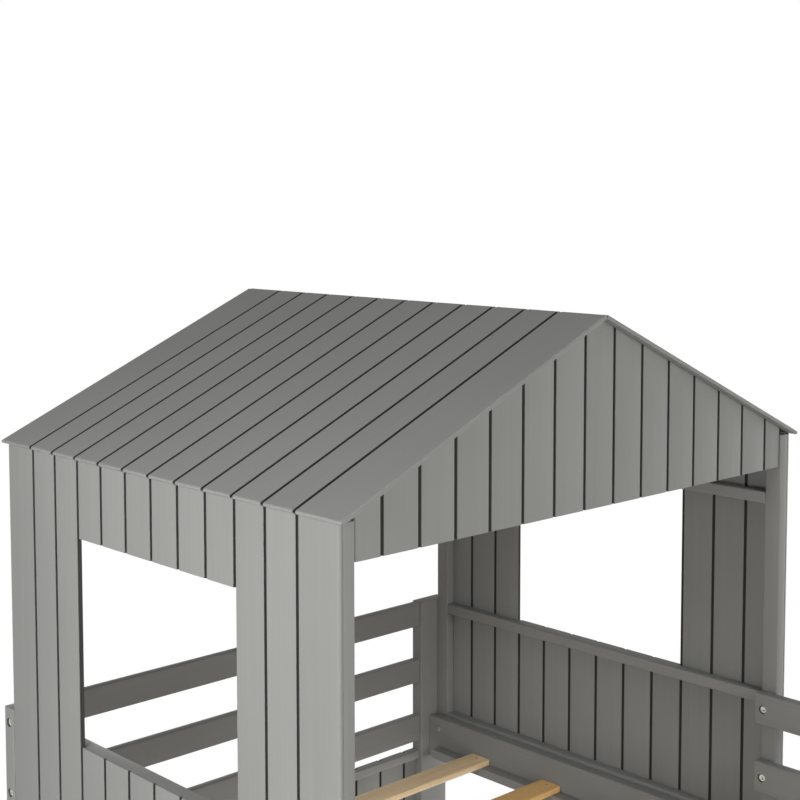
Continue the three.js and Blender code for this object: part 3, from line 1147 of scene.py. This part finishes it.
@dataclass(frozen=True)
class Bore:
    """A blind bore for a bolt's head: where it enters and the way that it runs."""

    entry: Vector
    way: Vector
    diameter: float = 16 * MM
    depth: float = 9 * MM
    overrun: float = 5 * MM
    facets: int = 40

    def rings(self) -> list[list[Vector]]:
        """Draws the cutting cylinder.

        Returns:
            Its ring outside the bar and its ring on the bore's floor.
        """
        side = self.way.orthogonal().normalized()
        rise = self.way.cross(side)
        rim = [
            (side * math.cos(t) + rise * math.sin(t)) * self.diameter / 2
            for t in round_turns(self.facets)
        ]
        centres = [self.entry + self.way * run for run in (-self.overrun, self.depth)]
        return [[centre + point for point in rim] for centre in centres]

    def head_seat(self) -> Seat:
        """Gives the point on the bore's floor and the way that a bolt's head faces."""
        return self.entry + self.way * self.depth, -self.way


@dataclass
class Joinery:
    """Makes the bed's bars and collects the bolts that their bores hold."""

    finishes: Finishes
    bolt_spacing: float = 46 * MM
    bolts: list[Seat] = field(default_factory=list)

    def bar(
        self, node: str, shape: PlanedBar = PlanedBar(), bores: Sequence[Bore] = ()
    ) -> Piece:
        """Makes the planed bar that stands for a CAD node, with its grain along its length.

        Args:
            node: the CAD node.
            shape: its roundings.
            bores: the bores that are cut into it.

        Returns:
            The finished piece.
        """
        low, high = box(node)
        size = high - low
        run = (Run.X, Run.Y, Run.Z)[max(range(3), key=lambda i: size[i])]
        body = Body()
        body.loft(shape.rings(low, high))
        piece = body.finish(f"{node}_planed", self.finishes.frame(run))
        if bores:
            self.cut(piece, bores, run)
        return settle(piece, Slot.FRAME, node)

    def rail_bolt_heights(self, node: str) -> list[float]:
        """Lists the heights of the two bolts into a side rail, about the rail's middle."""
        return [middle_of(node).z + way * self.bolt_spacing / 2 for way in (-1, 1)]

    def strips(
        self,
        name: str,
        node: str,
        shape: PlanedBar,
        corners: Sequence[tuple[Spot, Spot]],
        run: Run,
    ) -> Piece:
        """Makes planed strips as one piece that stands for a part of a CAD node.

        Args:
            name: the piece's name.
            node: the CAD node.
            shape: the strips' roundings.
            corners: two opposite corners of each strip's box.
            run: the way that their grain runs.

        Returns:
            The finished piece.
        """
        body = Body()
        for corner, opposite in corners:
            body.loft(shape.rings(Vector(corner), Vector(opposite)))
        return settle(body.finish(name, self.finishes.frame(run)), Slot.FRAME, node)

    def cut(self, piece: Piece, bores: Sequence[Bore], run: Run) -> None:
        """Cuts bores, with walls of paint-stained wood in painted shade, and notes their bolts.

        Args:
            piece: the bar.
            bores: its bores.
            run: the way that its grain runs.
        """
        body = Body()
        for bore in bores:
            body.loft(bore.rings())
            self.bolts.append(bore.head_seat())
        # The bore walls take paint-stained wood with painted shade
        cutter = body.finish("bore_cutter", self.finishes.of(self.finishes.bore_wood, run))
        modifier = piece.modifiers.new("bores", "BOOLEAN")
        modifier.operation = "DIFFERENCE"
        modifier.solver = "EXACT"
        modifier.material_mode = "TRANSFER"
        modifier.object = cutter
        bake_modifiers(piece)
        discard(cutter)


def box(node: str) -> tuple[Vector, Vector]:
    """Gives a CAD node's lowest and highest corners as vectors."""
    low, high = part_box(node)
    return Vector(low), Vector(high)


def middle_of(node: str) -> Vector:
    """Gives the middle of a CAD node's box."""
    low, high = box(node)
    return (low + high) / 2


@dataclass
class Bunk:
    """One sleeping level: two side rails with their ledgers, and the slats between them."""

    name: str
    joinery: Joinery
    rows: RowTree
    rail_thick: float = 26 * MM
    ledger_height: float = 19 * MM
    ledger_drop: float = 64 * MM
    ledger_setback: float = 36 * MM
    slat_count: int = 9
    ledger_shape: PlanedBar = PlanedBar(radius=1.8 * MM, end_ease=1.2 * MM, steps=3)
    slat_shape: PlanedBar = PlanedBar(
        radius=2.0 * MM, end_ease=1.0 * MM, plan_radius=5 * MM, steps=4
    )
    seed: int = 22

    def build(self) -> None:
        """Builds both side rails and the slats."""
        for side, sign in SIDES.items():
            self.side_rail(side, sign)
        self.slats()

    def side_rail(self, side: str, sign: int) -> None:
        """Makes a side rail and the ledger strip along its inner face.

        Args:
            side: near or far.
            sign: -1 for the near side and 1 for the far one.
        """
        node = f"{self.name}_side_rail_{side}"
        low, high = box(node)
        outer, ledger_edge = (high.y, low.y) if sign > 0 else (low.y, high.y)
        inner = outer - sign * self.rail_thick
        plank = ((low.x, inner, low.z), (high.x, outer, high.z))
        self.joinery.strips(f"{node}_plank", node, PlanedBar(), [plank], Run.X)
        top = high.z - self.ledger_drop
        ledger = (
            (low.x + self.ledger_setback, inner, top - self.ledger_height),
            (high.x - self.ledger_setback, ledger_edge, top),
        )
        self.joinery.strips(f"{node}_ledger", node, self.ledger_shape, [ledger], Run.X)

    def slats(self) -> None:
        """Makes the row of slats as one mesh."""
        nodes = [f"{self.name}_slat_{i + 1}" for i in range(self.slat_count)]
        body = Body()
        body.loft(self.slat_shape.rings(*box(nodes[0])))
        slat = body.finish(f"{self.name}_slats")
        step = middle_of(nodes[1]) - middle_of(nodes[0])
        pine = self.joinery.finishes.of(self.joinery.finishes.pine, Run.Y)
        self.rows.repeat(slat, self.slat_count, step, self.seed, pine)
        settle(slat, Slot.PINE, *nodes)


@dataclass
class EndFrame:
    """An end of the bed: two corner posts, three rails between them and a planked panel."""

    name: str
    sign: int
    joinery: Joinery
    planking: Planking
    rail_count: int = 3
    guard_count: int = 2
    batten_height: float = 19 * MM
    batten_setback: float = 1 * MM
    pitch: float = 72 * MM
    batten_shape: PlanedBar = PlanedBar(radius=1.8 * MM, end_ease=1.2 * MM, steps=3)
    seed: int = 31

    def build(self) -> None:
        """Builds the posts, the rails and the panel."""
        panel_low, panel_high = box(f"{self.name}_planked_panel")
        half = self.batten_height / 2
        battens = [panel_high.z - half, (panel_low.z + panel_high.z) / 2, panel_low.z + half]
        rails = [f"{self.name}_rail_{i + 1}" for i in range(self.rail_count)]
        heights = [middle_of(rail).z for rail in rails] + battens
        for side, sign in SIDES.items():
            self.post(side, sign, heights)
        for rail in rails:
            self.joinery.bar(rail)
        self.panel(panel_low, panel_high, battens)

    def post(self, side: str, sign: int, heights: Sequence[float]) -> None:
        """Makes a corner post with its bores.

        Args:
            side: near or far.
            sign: -1 for the near side and 1 for the far one.
            heights: of the bolts into the end rails and battens.
        """
        node = f"{self.name}_post_{side}"
        low, high = box(node)
        middle = (low + high) / 2
        outer = high.y if sign > 0 else low.y
        bores = [Bore(Vector((middle.x, outer, height)), -Y_AXIS * sign) for height in heights]
        face = high.x if self.sign > 0 else low.x
        for bunk in BUNKS:
            rail = f"{bunk}_side_rail_{side}"
            across = box(rail)[sign > 0].y - sign * Bunk.rail_thick / 2
            for height in self.joinery.rail_bolt_heights(rail):
                bores.append(Bore(Vector((face, across, height)), -X_AXIS * self.sign))
        if side == "far" and self.sign > 0:
            for i in range(self.guard_count):
                guard = middle_of(f"guard_rail_far_{i + 1}")
                bores.append(Bore(Vector((face, guard.y, guard.z)), -X_AXIS))
        self.joinery.bar(node, bores=bores)

    def panel(self, low: Vector, high: Vector, battens: Sequence[float]) -> None:
        """Makes the planked panel: boards that face outwards, on battens.

        Args:
            low: the panel's lowest corner.
            high: its highest corner.
            battens: the battens' heights.
        """
        node = f"{self.name}_planked_panel"
        face, rear = (high.x, low.x) if self.sign > 0 else (low.x, high.x)
        start = low.y if self.sign > 0 else high.y
        place = Place(
            Vector((face, start, low.z)), Y_AXIS * self.sign, -X_AXIS * self.sign, Z_AXIS
        )
        width = high.y - low.y
        boards = self.planking.panel(
            f"{node}_boards", place, width, self.pitch, math.ceil(width / self.pitch),
            high.z - low.z, self.seed, Run.Z,
        )
        settle(boards, Slot.BOARDS, node)
        behind = face - self.sign * self.planking.section.thickness
        setback, half = self.batten_setback, self.batten_height / 2
        strips = [
            ((behind, low.y + setback, height - half), (rear, high.y - setback, height + half))
            for height in battens
        ]
        self.joinery.strips(f"{node}_battens", node, self.batten_shape, strips, Run.Y)


@dataclass
class Playhouse:
    """The house over half of the upper bunk: two window walls, two gables and a roof."""

    joinery: Joinery
    planking: Planking
    roofing: Planking
    window_boards: int = 6
    jamb_boards: int = 3
    seam: float = 0.3 * MM
    rail_height: float = 21.5 * MM
    foot_rail_rise: float = 6 * MM
    frame_depth: float = 21.5 * MM
    glue_depth: float = 1.5 * MM
    roof_pitch: float = math.radians(24)
    verge_overhang: float = 12 * MM
    gable_setback: float = 2 * MM
    gable_board_spare: float = 5 * MM
    gable_bevel_segments: int = 2
    gable_bevel_profile: float = 0.5
    roof_batten_width: float = 32 * MM
    roof_batten_depth: float = 18 * MM
    rail_shape: PlanedBar = PlanedBar(radius=1.8 * MM, end_ease=0.8 * MM, steps=3)
    post_shape: PlanedBar = PlanedBar(radius=2.2 * MM)
    seed: int = 51
    gable_seed_step: int = 10
    roof_seed_step: int = 20
    last_jamb_seed_step: int = 100
    window_seed_step: int = 228

    def build(self) -> None:
        """Builds the walls, the gables and the roof."""
        for i, (side, sign) in enumerate(SIDES.items()):
            self.wall(side, sign, self.seed + i)
        for i, (end, sign) in enumerate(ENDS.items()):
            self.gable(end, sign, self.seed + self.gable_seed_step + i)
        for i, (side, sign) in enumerate(SIDES.items()):
            self.roof(side, sign, self.seed + self.roof_seed_step + i)

    def pitch(self) -> float:
        """Works out the boards' pitch from the window between the two jambs."""
        gap = box("house_boards_near_open_end")[0].x - box("house_boards_near_bunk_end")[1].x
        return (gap - self.seam) / self.window_boards

    def wall(self, side: str, sign: int, seed: int) -> None:
        """Makes a window wall: jamb boards, boards over and under the window, rails, posts.

        Args:
            side: near or far.
            sign: -1 for the near wall and 1 for the far one.
            seed: the seed of its boards' tones.
        """
        first, last = ("bunk_end", "open_end") if sign < 0 else ("open_end", "bunk_end")
        low, high = box(f"house_boards_{side}_{first}")
        outer, start = (low.y, low.x) if sign < 0 else (high.y, high.x)
        place = Place(Vector((start, outer, low.z)), X_AXIS * -sign, Y_AXIS * -sign, Z_AXIS)
        pitch = self.pitch()
        end_board = high.x - low.x + self.seam / 2 - (self.jamb_boards - 1) * pitch
        jamb_width = end_board + (self.jamb_boards - 1) * pitch
        free, slot, tongue = BoardEdge.FREE, BoardEdge.SLOT, BoardEdge.TONGUE
        for end, jamb_place, widths, edges, jamb_seed in (
            (first, place, (end_board, pitch, pitch), (free, tongue), seed),
            (
                last,
                place.moved(across=jamb_width + self.window_boards * pitch),
                (pitch, pitch, end_board),
                (slot, free),
                seed + self.last_jamb_seed_step,
            ),
        ):
            jamb = self.planking.row(
                f"house_{side}_jamb_boards_{end}", jamb_place, widths,
                self.jamb_boards, high.z - low.z, edges, jamb_seed, Run.Z,
            )
            settle(jamb, Slot.BOARDS, f"house_boards_{side}_{end}")
        for part in ("sill", "head"):
            node = f"house_window_{part}_{side}"
            foot, top = (corner.z for corner in box(node))
            boards = self.planking.row(
                f"{node}_boards", place.moved(jamb_width, foot - low.z), (pitch, pitch, pitch),
                self.window_boards, top - foot, (slot, tongue), seed + self.window_seed_step, Run.Z,
            )
            settle(boards, Slot.BOARDS, node)
        self.wall_rails(side, sign)
        for end in ENDS:
            self.joinery.bar(f"house_post_{side}_{end}", self.post_shape)

    def wall_rails(self, side: str, sign: int) -> None:
        """Makes the rails behind a wall's boards: two under its window and two over it.

        Args:
            side: near or far.
            sign: -1 for the near wall and 1 for the far one.
        """
        foot_top = box(f"upper_side_rail_{side}")[1].z + self.foot_rail_rise
        for part in ("sill", "head"):
            node = f"house_window_{part}_{side}"
            low, high = box(node)
            inner = high.y if sign < 0 else low.y
            front = inner + sign * (self.frame_depth + self.seam + self.glue_depth)
            lower_top = foot_top if part == "sill" else low.z + self.rail_height
            strips = [
                ((low.x, inner, top - self.rail_height), (high.x, front, top))
                for top in (high.z, lower_top)
            ]
            self.joinery.strips(f"{node}_rails", node, self.rail_shape, strips, Run.X)

    def under_roof(self, y: float, drop: float = 0.0) -> float:
        """Gives the height of the roof's underside, or of a line that runs below it.

        Args:
            y: the distance from the ridge's upright plane.
            drop: how far below the underside, square to the slope.

        Returns:
            The height in metres.
        """
        wall_low, wall_high = box("house_boards_near_open_end")
        ridge = wall_high.z + self.seam - wall_low.y * math.tan(self.roof_pitch)
        return ridge - abs(y) * math.tan(self.roof_pitch) - drop / math.cos(self.roof_pitch)

    def gable(self, end: str, sign: int, seed: int) -> None:
        """Makes a gable: upright boards cut to the slopes, on a frame behind them.

        Args:
            end: bunk_end or open_end.
            sign: -1 for the bunk's end and 1 for the open one.
            seed: the seed of its boards' tones.
        """
        node = f"house_gable_{end}"
        low, high = box(node)
        face, rear = (high.x, low.x) if sign > 0 else (low.x, high.x)
        start = low.y if sign > 0 else high.y
        place = Place(Vector((face, start, low.z)), Y_AXIS * sign, -X_AXIS * sign, Z_AXIS)
        width, pitch = high.y - low.y, self.pitch()
        boards = self.planking.panel(
            f"{node}_boards", place, width, pitch, math.ceil(width / pitch),
            self.under_roof(0) - low.z + self.gable_board_spare, seed, Run.Z,
        )
        self.cut_to_slopes(boards)
        settle(boards, Slot.BOARDS, node)
        behind = face - sign * self.planking.section.thickness
        body = Body()
        for outline in self.gable_members(low, high):
            body.loft([[Vector((x, y, z)) for y, z in outline] for x in (behind, rear)])
        bmesh.ops.bevel(
            body.mesh,
            geom=list(body.mesh.edges),
            offset=self.rail_shape.radius / 2,
            segments=self.gable_bevel_segments,
            affect="EDGES",
            profile=self.gable_bevel_profile,
        )
        paint = self.joinery.finishes.frame(Run.Y)
        settle(body.finish(f"{node}_frame", paint), Slot.FRAME, node)

    def cut_to_slopes(self, boards: Piece) -> None:
        """Cuts a gable's boards along both roof slopes and closes their ends.

        Args:
            boards: the row of boards, which stands higher than the slopes.
        """
        mesh = bmesh.new()
        mesh.from_mesh(boards.data)
        for sign in SIDES.values():
            cut = bmesh.ops.bisect_plane(
                mesh,
                geom=[*mesh.verts, *mesh.edges, *mesh.faces],
                plane_co=(0, 0, self.under_roof(0, self.seam)),
                plane_no=(0, sign * math.sin(self.roof_pitch), math.cos(self.roof_pitch)),
                clear_outer=True,
            )
            rim = [item for item in cut["geom_cut"] if isinstance(item, bmesh.types.BMEdge)]
            bmesh.ops.holes_fill(mesh, edges=rim, sides=0)
        mesh.to_mesh(boards.data)
        mesh.free()

    def gable_members(self, low: Vector, high: Vector) -> list[list[Point]]:
        """Draws a gable frame's rail, two uprights and two rafters over Y and Z.

        Args:
            low: the gable's lowest corner.
            high: its highest corner.

        Returns:
            Each member's outline.
        """
        side = high.y - self.seam
        wide = self.rail_height
        inner = side - wide
        foot = low.z + self.seam
        rise = foot + wide
        members = [[(-side, foot), (side, foot), (side, rise), (-side, rise)]]
        for sign in SIDES.values():
            upright = [
                (sign * side, rise + self.seam),
                (sign * inner, rise + self.seam),
                (sign * inner, self.under_roof(inner, wide + self.seam * 2)),
                (sign * side, self.under_roof(side, wide + self.seam * 2)),
            ]
            rafter = [
                (sign * side, self.under_roof(side, self.seam * 2)),
                (sign * self.seam, self.under_roof(0, self.seam * 2)),
                (sign * self.seam, self.under_roof(0, wide + self.seam)),
                (sign * side, self.under_roof(side, wide + self.seam)),
            ]
            members += [upright, rafter]
        return members

    def roof(self, side: str, sign: int, seed: int) -> None:
        """Makes a roof slope: boards down the slope with half-round ends, on battens.

        Args:
            side: near or far.
            sign: -1 for the near slope and 1 for the far one.
            seed: the seed of its boards' tones.
        """
        node = f"house_roof_{side}"
        low, high = box(node)
        sine, cosine = math.sin(self.roof_pitch), math.cos(self.roof_pitch)
        thick = self.roofing.section.thickness
        down = Vector((0, sign * cosine, -sine))
        inwards = Vector((0, -sign * sine, -cosine))
        peak = self.under_roof(0) + thick / cosine
        eave = high.y if sign > 0 else -low.y
        radius = thick / 2
        clear_of_ridge = (radius + self.seam / 2 + radius * sine) / cosine - radius
        under_ridge_line = (peak + radius * (1 - cosine) - high.z) / sine - radius
        start = max(clear_of_ridge, under_ridge_line)
        end = (eave - radius + radius * sine) / cosine + radius
        origin = Vector((low.x if sign < 0 else high.x, 0, peak)) + down * start
        place = Place(origin, X_AXIS * -sign, inwards, down)
        count = 2 * self.jamb_boards + self.window_boards
        boards = self.roofing.panel(
            f"{node}_boards", place, high.x - low.x, self.pitch(), count, end - start,
            seed, Run.SLOPE, rounded=True,
        )
        settle(boards, Slot.BOARDS, node)
        self.roof_battens(node, place, high.x - low.x)

    def roof_battens(self, node: str, place: Place, width: float) -> None:
        """Makes the three battens under a roof slope.

        Args:
            node: the slope's CAD node.
            place: the slope's boards' place.
            width: the slope's width.
        """
        thick = self.roofing.section.thickness
        gable_back = self.gable_setback + thick + self.frame_depth + self.seam
        inset = self.verge_overhang + gable_back
        half = self.roof_batten_width / 2
        wall_inner = -box("house_post_near_open_end")[1].y
        sine, cosine = math.sin(self.roof_pitch), math.cos(self.roof_pitch)
        start = place.origin.y / place.along.y
        under = thick + self.roof_batten_depth
        ridge = under * math.tan(self.roof_pitch) + self.seam + half
        eave = (wall_inner - self.seam + thick * sine) / cosine - half
        body = Body()
        for run in (ridge, (ridge + eave) / 2, eave):
            rings = self.rail_shape.rings(
                Vector((inset, thick, run - half - start)),
                Vector((width - inset, under, run + half - start)),
            )
            body.loft([[place.at(*point) for point in ring] for ring in rings])
        paint = self.joinery.finishes.frame(Run.X)
        settle(body.finish(f"{node}_battens", paint), Slot.FRAME, node)


@dataclass
class GuardRails:
    """Two guard rails on each side of the upper bunk's open half."""

    joinery: Joinery
    count: int = 2

    def build(self) -> None:
        """Builds the rails, bored at the house post and, on the near side, at the ladder."""
        for side, sign in SIDES.items():
            places = [middle_of(f"house_post_{side}_open_end").x]
            if side == "near":
                places.append(middle_of("ladder_stile_left").x)
            for i in range(self.count):
                node = f"guard_rail_{side}_{i + 1}"
                low, high = box(node)
                inner = low.y if sign > 0 else high.y
                height = (low.z + high.z) / 2
                bores = [Bore(Vector((x, inner, height)), Y_AXIS * sign) for x in places]
                self.joinery.bar(node, bores=bores)


@dataclass
class Ladder:
    """The ladder in the near side's opening: two stiles and four rungs."""

    joinery: Joinery
    rows: RowTree
    rung_count: int = 4
    rung_shape: PlanedBar = PlanedBar(radius=6 * MM, end_ease=1.2 * MM, steps=6)
    seed: int = 91

    def build(self) -> None:
        """Builds the stiles and the rungs."""
        rungs = [f"ladder_rung_{i + 1}" for i in range(self.rung_count)]
        for side, sign in (("left", -1), ("right", 1)):
            self.stile(f"ladder_stile_{side}", sign, [middle_of(rung).z for rung in rungs])
        body = Body()
        body.loft(self.rung_shape.rings(*box(rungs[0])))
        rung = body.finish("ladder_rungs")
        step = middle_of(rungs[1]) - middle_of(rungs[0])
        paint = self.joinery.finishes.frame(Run.X)
        self.rows.repeat(rung, self.rung_count, step, self.seed, paint)
        settle(rung, Slot.FRAME, *rungs)

    def stile(self, node: str, sign: int, heights: Sequence[float]) -> None:
        """Makes a stile, bored for the side rails and for the rungs.

        Args:
            node: its CAD node.
            sign: -1 for the left stile and 1 for the right one.
            heights: the rungs' middles.
        """
        low, high = box(node)
        middle = (low + high) / 2
        outer = high.x if sign > 0 else low.x
        bores = [Bore(Vector((outer, middle.y, height)), -X_AXIS * sign) for height in heights]
        for bunk in BUNKS:
            for height in self.joinery.rail_bolt_heights(f"{bunk}_side_rail_near"):
                bores.append(Bore(Vector((middle.x, low.y, height)), Y_AXIS))
        self.joinery.bar(node, bores=bores)


@dataclass(frozen=True)
class Head:
    """A fastener's round head with a six-sided socket, whose radius ends at its flats."""

    radius: float
    height: float
    socket_radius: float
    socket_depth: float
    ease: float = 0.7 * MM
    ease_steps: int = 3
    socket_mouth: float = 1.25
    socket_lip: float = 0.12 * MM
    facets: int = 36

    def build(self) -> Piece:
        """Makes the head, standing on the origin towards +Z.

        Returns:
            A helper object.
        """
        ease = min(self.ease, self.height / 2)
        rings = [self.ring(self.radius, -ease)]
        for t in quarter_turns(self.ease_steps):
            reach = self.radius - ease * (1 - math.cos(t))
            rings.append(self.ring(reach, self.height - ease * (1 - math.sin(t))))
        rings.append(self.ring(self.socket_radius * self.socket_mouth, self.height))
        for sunk in (self.socket_lip, self.socket_depth):
            rings.append(self.ring(self.socket_radius, self.height - sunk, six_sided=True))
        body = Body()
        body.loft(rings)
        return body.finish("fastener_head")

    def ring(self, reach: float, rise: float, six_sided: bool = False) -> list[Vector]:
        """Draws a level ring round the Z axis.

        Args:
            reach: from the axis to the circle, or to the hexagon's flats.
            rise: its height.
            six_sided: whether it is a hexagon, or else a circle.

        Returns:
            Equally many points for either.
        """
        sixth = math.pi / 3
        points = []
        for turn in round_turns(self.facets):
            far = reach / math.cos(turn % sixth - sixth / 2) if six_sided else reach
            points.append(Vector((far * math.cos(turn), far * math.sin(turn), rise)))
        return points


@dataclass
class Fasteners:
    """Socket-head bolts in their bores, barrel nuts in the side rails and slat screws."""

    joinery: Joinery
    tree: FastenerTree
    bolt: Head = Head(6.8 * MM, 6.6 * MM, socket_radius=3.1 * MM, socket_depth=3.2 * MM)
    nut: Head = Head(4.5 * MM, 0.5 * MM, socket_radius=2.2 * MM, socket_depth=0.4 * MM)
    screw: Head = Head(3.4 * MM, 0.6 * MM, socket_radius=1.3 * MM, socket_depth=0.5 * MM)
    nut_inset: float = 30.5 * MM
    nut_spacing: float = 44 * MM
    screw_inset: float = 15 * MM
    screw_sunk: float = 0.3 * MM
    seed: int = 7

    def build(self) -> None:
        """Sets the bolts, the barrel nuts and the slat screws."""
        zinc = self.joinery.finishes.zinc
        for i, (name, places, head) in enumerate((
            ("joint_bolts", self.joinery.bolts, self.bolt),
            ("barrel_nuts", self.nuts(), self.nut),
            ("slat_screws", self.screws(), self.screw),
        )):
            fastener = head.build()
            settle(self.tree.set_on(name, places, fastener, self.seed + i, zinc), None)
            discard(fastener)

    def nuts(self) -> list[Seat]:
        """Lists the barrel nuts on the inner faces of the side rails.

        Returns:
            Each nut's point and the way that it faces.
        """
        places = []
        for bunk in BUNKS:
            for side, sign in SIDES.items():
                low, high = box(f"{bunk}_side_rail_{side}")
                inner = (high.y if sign > 0 else low.y) - sign * Bunk.rail_thick
                middle = (low.z + high.z) / 2
                for x in (low.x + self.nut_inset, high.x - self.nut_inset):
                    for way in (-1, 1):
                        point = Vector((x, inner, middle + way * self.nut_spacing / 2))
                        places.append((point, -Y_AXIS * sign))
        return places

    def screws(self) -> list[Seat]:
        """Lists the screws at both ends of each slat.

        Returns:
            Each screw's point and the way that it faces.
        """
        places = []
        for bunk in BUNKS:
            for i in range(Bunk.slat_count):
                low, high = box(f"{bunk}_slat_{i + 1}")
                x = (low.x + high.x) / 2
                for y in (low.y + self.screw_inset, high.y - self.screw_inset):
                    places.append((Vector((x, y, high.z - self.screw_sunk)), Z_AXIS))
        return places


@dataclass(frozen=True)
class Softbox:
    """A square area lamp."""

    name: str
    place: Spot
    aim: Spot
    size: float
    watts: float

    def build(self) -> None:
        """Adds the lamp to the scene."""
        lamp = bpy.data.lights.new(self.name, "AREA")
        lamp.shape = "SQUARE"
        lamp.size = self.size
        lamp.energy = self.watts
        holder = bpy.data.objects.new(self.name, lamp)
        holder.location = self.place
        way = Vector(self.aim) - Vector(self.place)
        holder.rotation_mode = "QUATERNION"
        holder.rotation_quaternion = way.to_track_quat("-Z", "Y")
        holder.visible_camera = False
        bpy.context.scene.collection.objects.link(holder)


@dataclass
class Studio:
    """A pale round floor, soft lamps, a white surround and the camera."""

    floor_radius: float = 2.35
    floor_fade: float = 1.2
    floor_top: float = -0.5 * MM
    floor_thickness: float = 20 * MM
    floor_facets: int = 96
    floor_white: float = 0.45
    floor_colour: Colour = (0.82, 0.82, 0.81)
    floor_roughness: float = 0.8
    ambient: Colour = (0.18, 0.18, 0.18)
    camera_place: Spot = (1.4163, -1.8408, 2.4210)
    azimuth: float = math.radians(46.345)
    elevation: float = math.radians(4.237)
    lens: float = 67.40
    shift: tuple[float, float] = (-0.0182, -0.12)
    lamps: tuple[Softbox, ...] = (
        Softbox("front_softbox", (0.0, -2.4, 2.8), HOUSE_MIDDLE, 0.9, 20.0),
        Softbox("level_softbox", (-0.5, -2.4, 2.15), HOUSE_MIDDLE, 0.8, 15.5),
        Softbox("low_softbox", (0.9, -2.3, 1.15), HOUSE_MIDDLE, 0.9, 24.0),
        Softbox("side_softbox", (3.4, -0.2, 2.2), HOUSE_MIDDLE, 1.4, 25.0),
        Softbox("high_softbox", (2.4, -0.2, 2.9), HOUSE_MIDDLE, 1.2, 18.5),
        Softbox("left_softbox", (-4.2, 1.1, 1.0), (-0.4, 0.0, 1.2), 1.8, 130.0),
        Softbox("rear_softbox", (0.0, 4.3, 1.0), (-0.2, 0.0, 1.2), 1.8, 180.0),
    )

    def build(self) -> None:
        """Builds the floor, the lamps, the surround and the camera."""
        self.floor()
        for lamp in self.lamps:
            lamp.build()
        self.surround()
        self.camera()
        bpy.context.scene.view_settings.view_transform = "Standard"

    def floor(self) -> None:
        """Makes the floor, which is pale to the eye, white at its rim, and keeps the shadow."""
        body = Body()
        turns = round_turns(self.floor_facets)
        rim = [Vector((math.cos(t), math.sin(t), 0)) * self.floor_radius for t in turns]
        body.loft([
            [point + Z_AXIS * height for point in rim]
            for height in (self.floor_top - self.floor_thickness, self.floor_top)
        ])
        material, wiring, shader = new_material("pale_floor")
        shader.inputs["Base Color"].default_value = (*self.floor_colour, 1.0)
        shader.inputs["Roughness"].default_value = self.floor_roughness
        place = wiring.add("ShaderNodeTexCoord").outputs["Object"]
        reach = wiring.add("ShaderNodeVectorMath", {"operation": "LENGTH"}, Vector=place)
        fade = wiring.add(
            "ShaderNodeMapRange",
            {"interpolation_type": "SMOOTHSTEP"},
            Value=reach.outputs["Value"],
            From_Min=self.floor_fade,
            From_Max=self.floor_radius,
            To_Min=self.floor_white,
        )
        seen = self.looked_at(wiring)
        white = wiring.add("ShaderNodeEmission", Color=WHITE)
        mix = wiring.add("ShaderNodeMixShader", Fac=wiring.math("MULTIPLY", fade.outputs[0], seen))
        wiring.feed(mix.inputs[1], shader.outputs[0])
        wiring.feed(mix.inputs[2], white.outputs[0])
        output = next(n for n in wiring.tree.nodes if n.type == "OUTPUT_MATERIAL")
        wiring.feed(output.inputs["Surface"], mix.outputs[0])
        body.finish("studio_floor", material)

    @staticmethod
    def looked_at(wiring: Wiring) -> Socket:
        """Tells the rays that carry a picture from those that carry light.

        Args:
            wiring: the material's or the world's wiring.

        Returns:
            A value of 1 for rays from the camera, in reflections and through glass, else 0.
        """
        path = wiring.add("ShaderNodeLightPath").outputs
        seen = wiring.math("MAXIMUM", path["Is Camera Ray"], path["Is Glossy Ray"])
        return wiring.math("MAXIMUM", seen, path["Is Transmission Ray"])

    def surround(self) -> None:
        """Makes the world: white to the camera and in reflections, soft grey as light."""
        world = bpy.data.worlds.new("studio")
        world.use_nodes = True
        world.node_tree.nodes.clear()
        wiring = Wiring(world.node_tree)
        colour = wiring.add("ShaderNodeMix", {"data_type": "RGBA"})
        wiring.feed(colour.inputs[0], self.looked_at(wiring))
        wiring.feed(colour.inputs[6], (*self.ambient, 1.0))
        wiring.feed(colour.inputs[7], WHITE)
        background = wiring.add("ShaderNodeBackground", Color=colour.outputs[2], Strength=1.0)
        wiring.add("ShaderNodeOutputWorld", Surface=background.outputs[0])
        bpy.context.scene.world = world

    def camera(self) -> None:
        """Places the camera at the photograph's angle."""
        data = bpy.data.cameras.new("camera")
        data.lens = self.lens
        data.shift_x, data.shift_y = self.shift
        holder = bpy.data.objects.new("camera", data)
        side, rise = math.sin(self.azimuth), math.cos(self.azimuth)
        level = math.cos(self.elevation)
        back = Vector((side * level, -rise * level, math.sin(self.elevation)))
        holder.rotation_mode = "QUATERNION"
        holder.rotation_quaternion = (-back).to_track_quat("-Z", "Y")
        holder.location = self.camera_place
        bpy.context.scene.collection.objects.link(holder)
        bpy.context.scene.camera = holder


def main() -> None:
    """Builds the studio and the bed."""
    logging.basicConfig(level=logging.INFO, format="%(name)s: %(message)s")
    Studio().build()
    finishes = Finishes()
    rows = RowTree()
    joinery = Joinery(finishes)
    planking = Planking(rows, finishes)
    roofing = Planking(rows, finishes, BoardSection(free_round=3 * MM, back_round=1 * MM))
    for i, name in enumerate(BUNKS):
        Bunk(name, joinery, rows, seed=Bunk.seed + i).build()
    for i, (name, sign) in enumerate(ENDS.items()):
        EndFrame(name, sign, joinery, planking, seed=EndFrame.seed + i).build()
    Playhouse(joinery, planking, roofing).build()
    GuardRails(joinery).build()
    Ladder(joinery, rows).build()
    Fasteners(joinery, FastenerTree()).build()


if __name__ == "__main__":
    main()
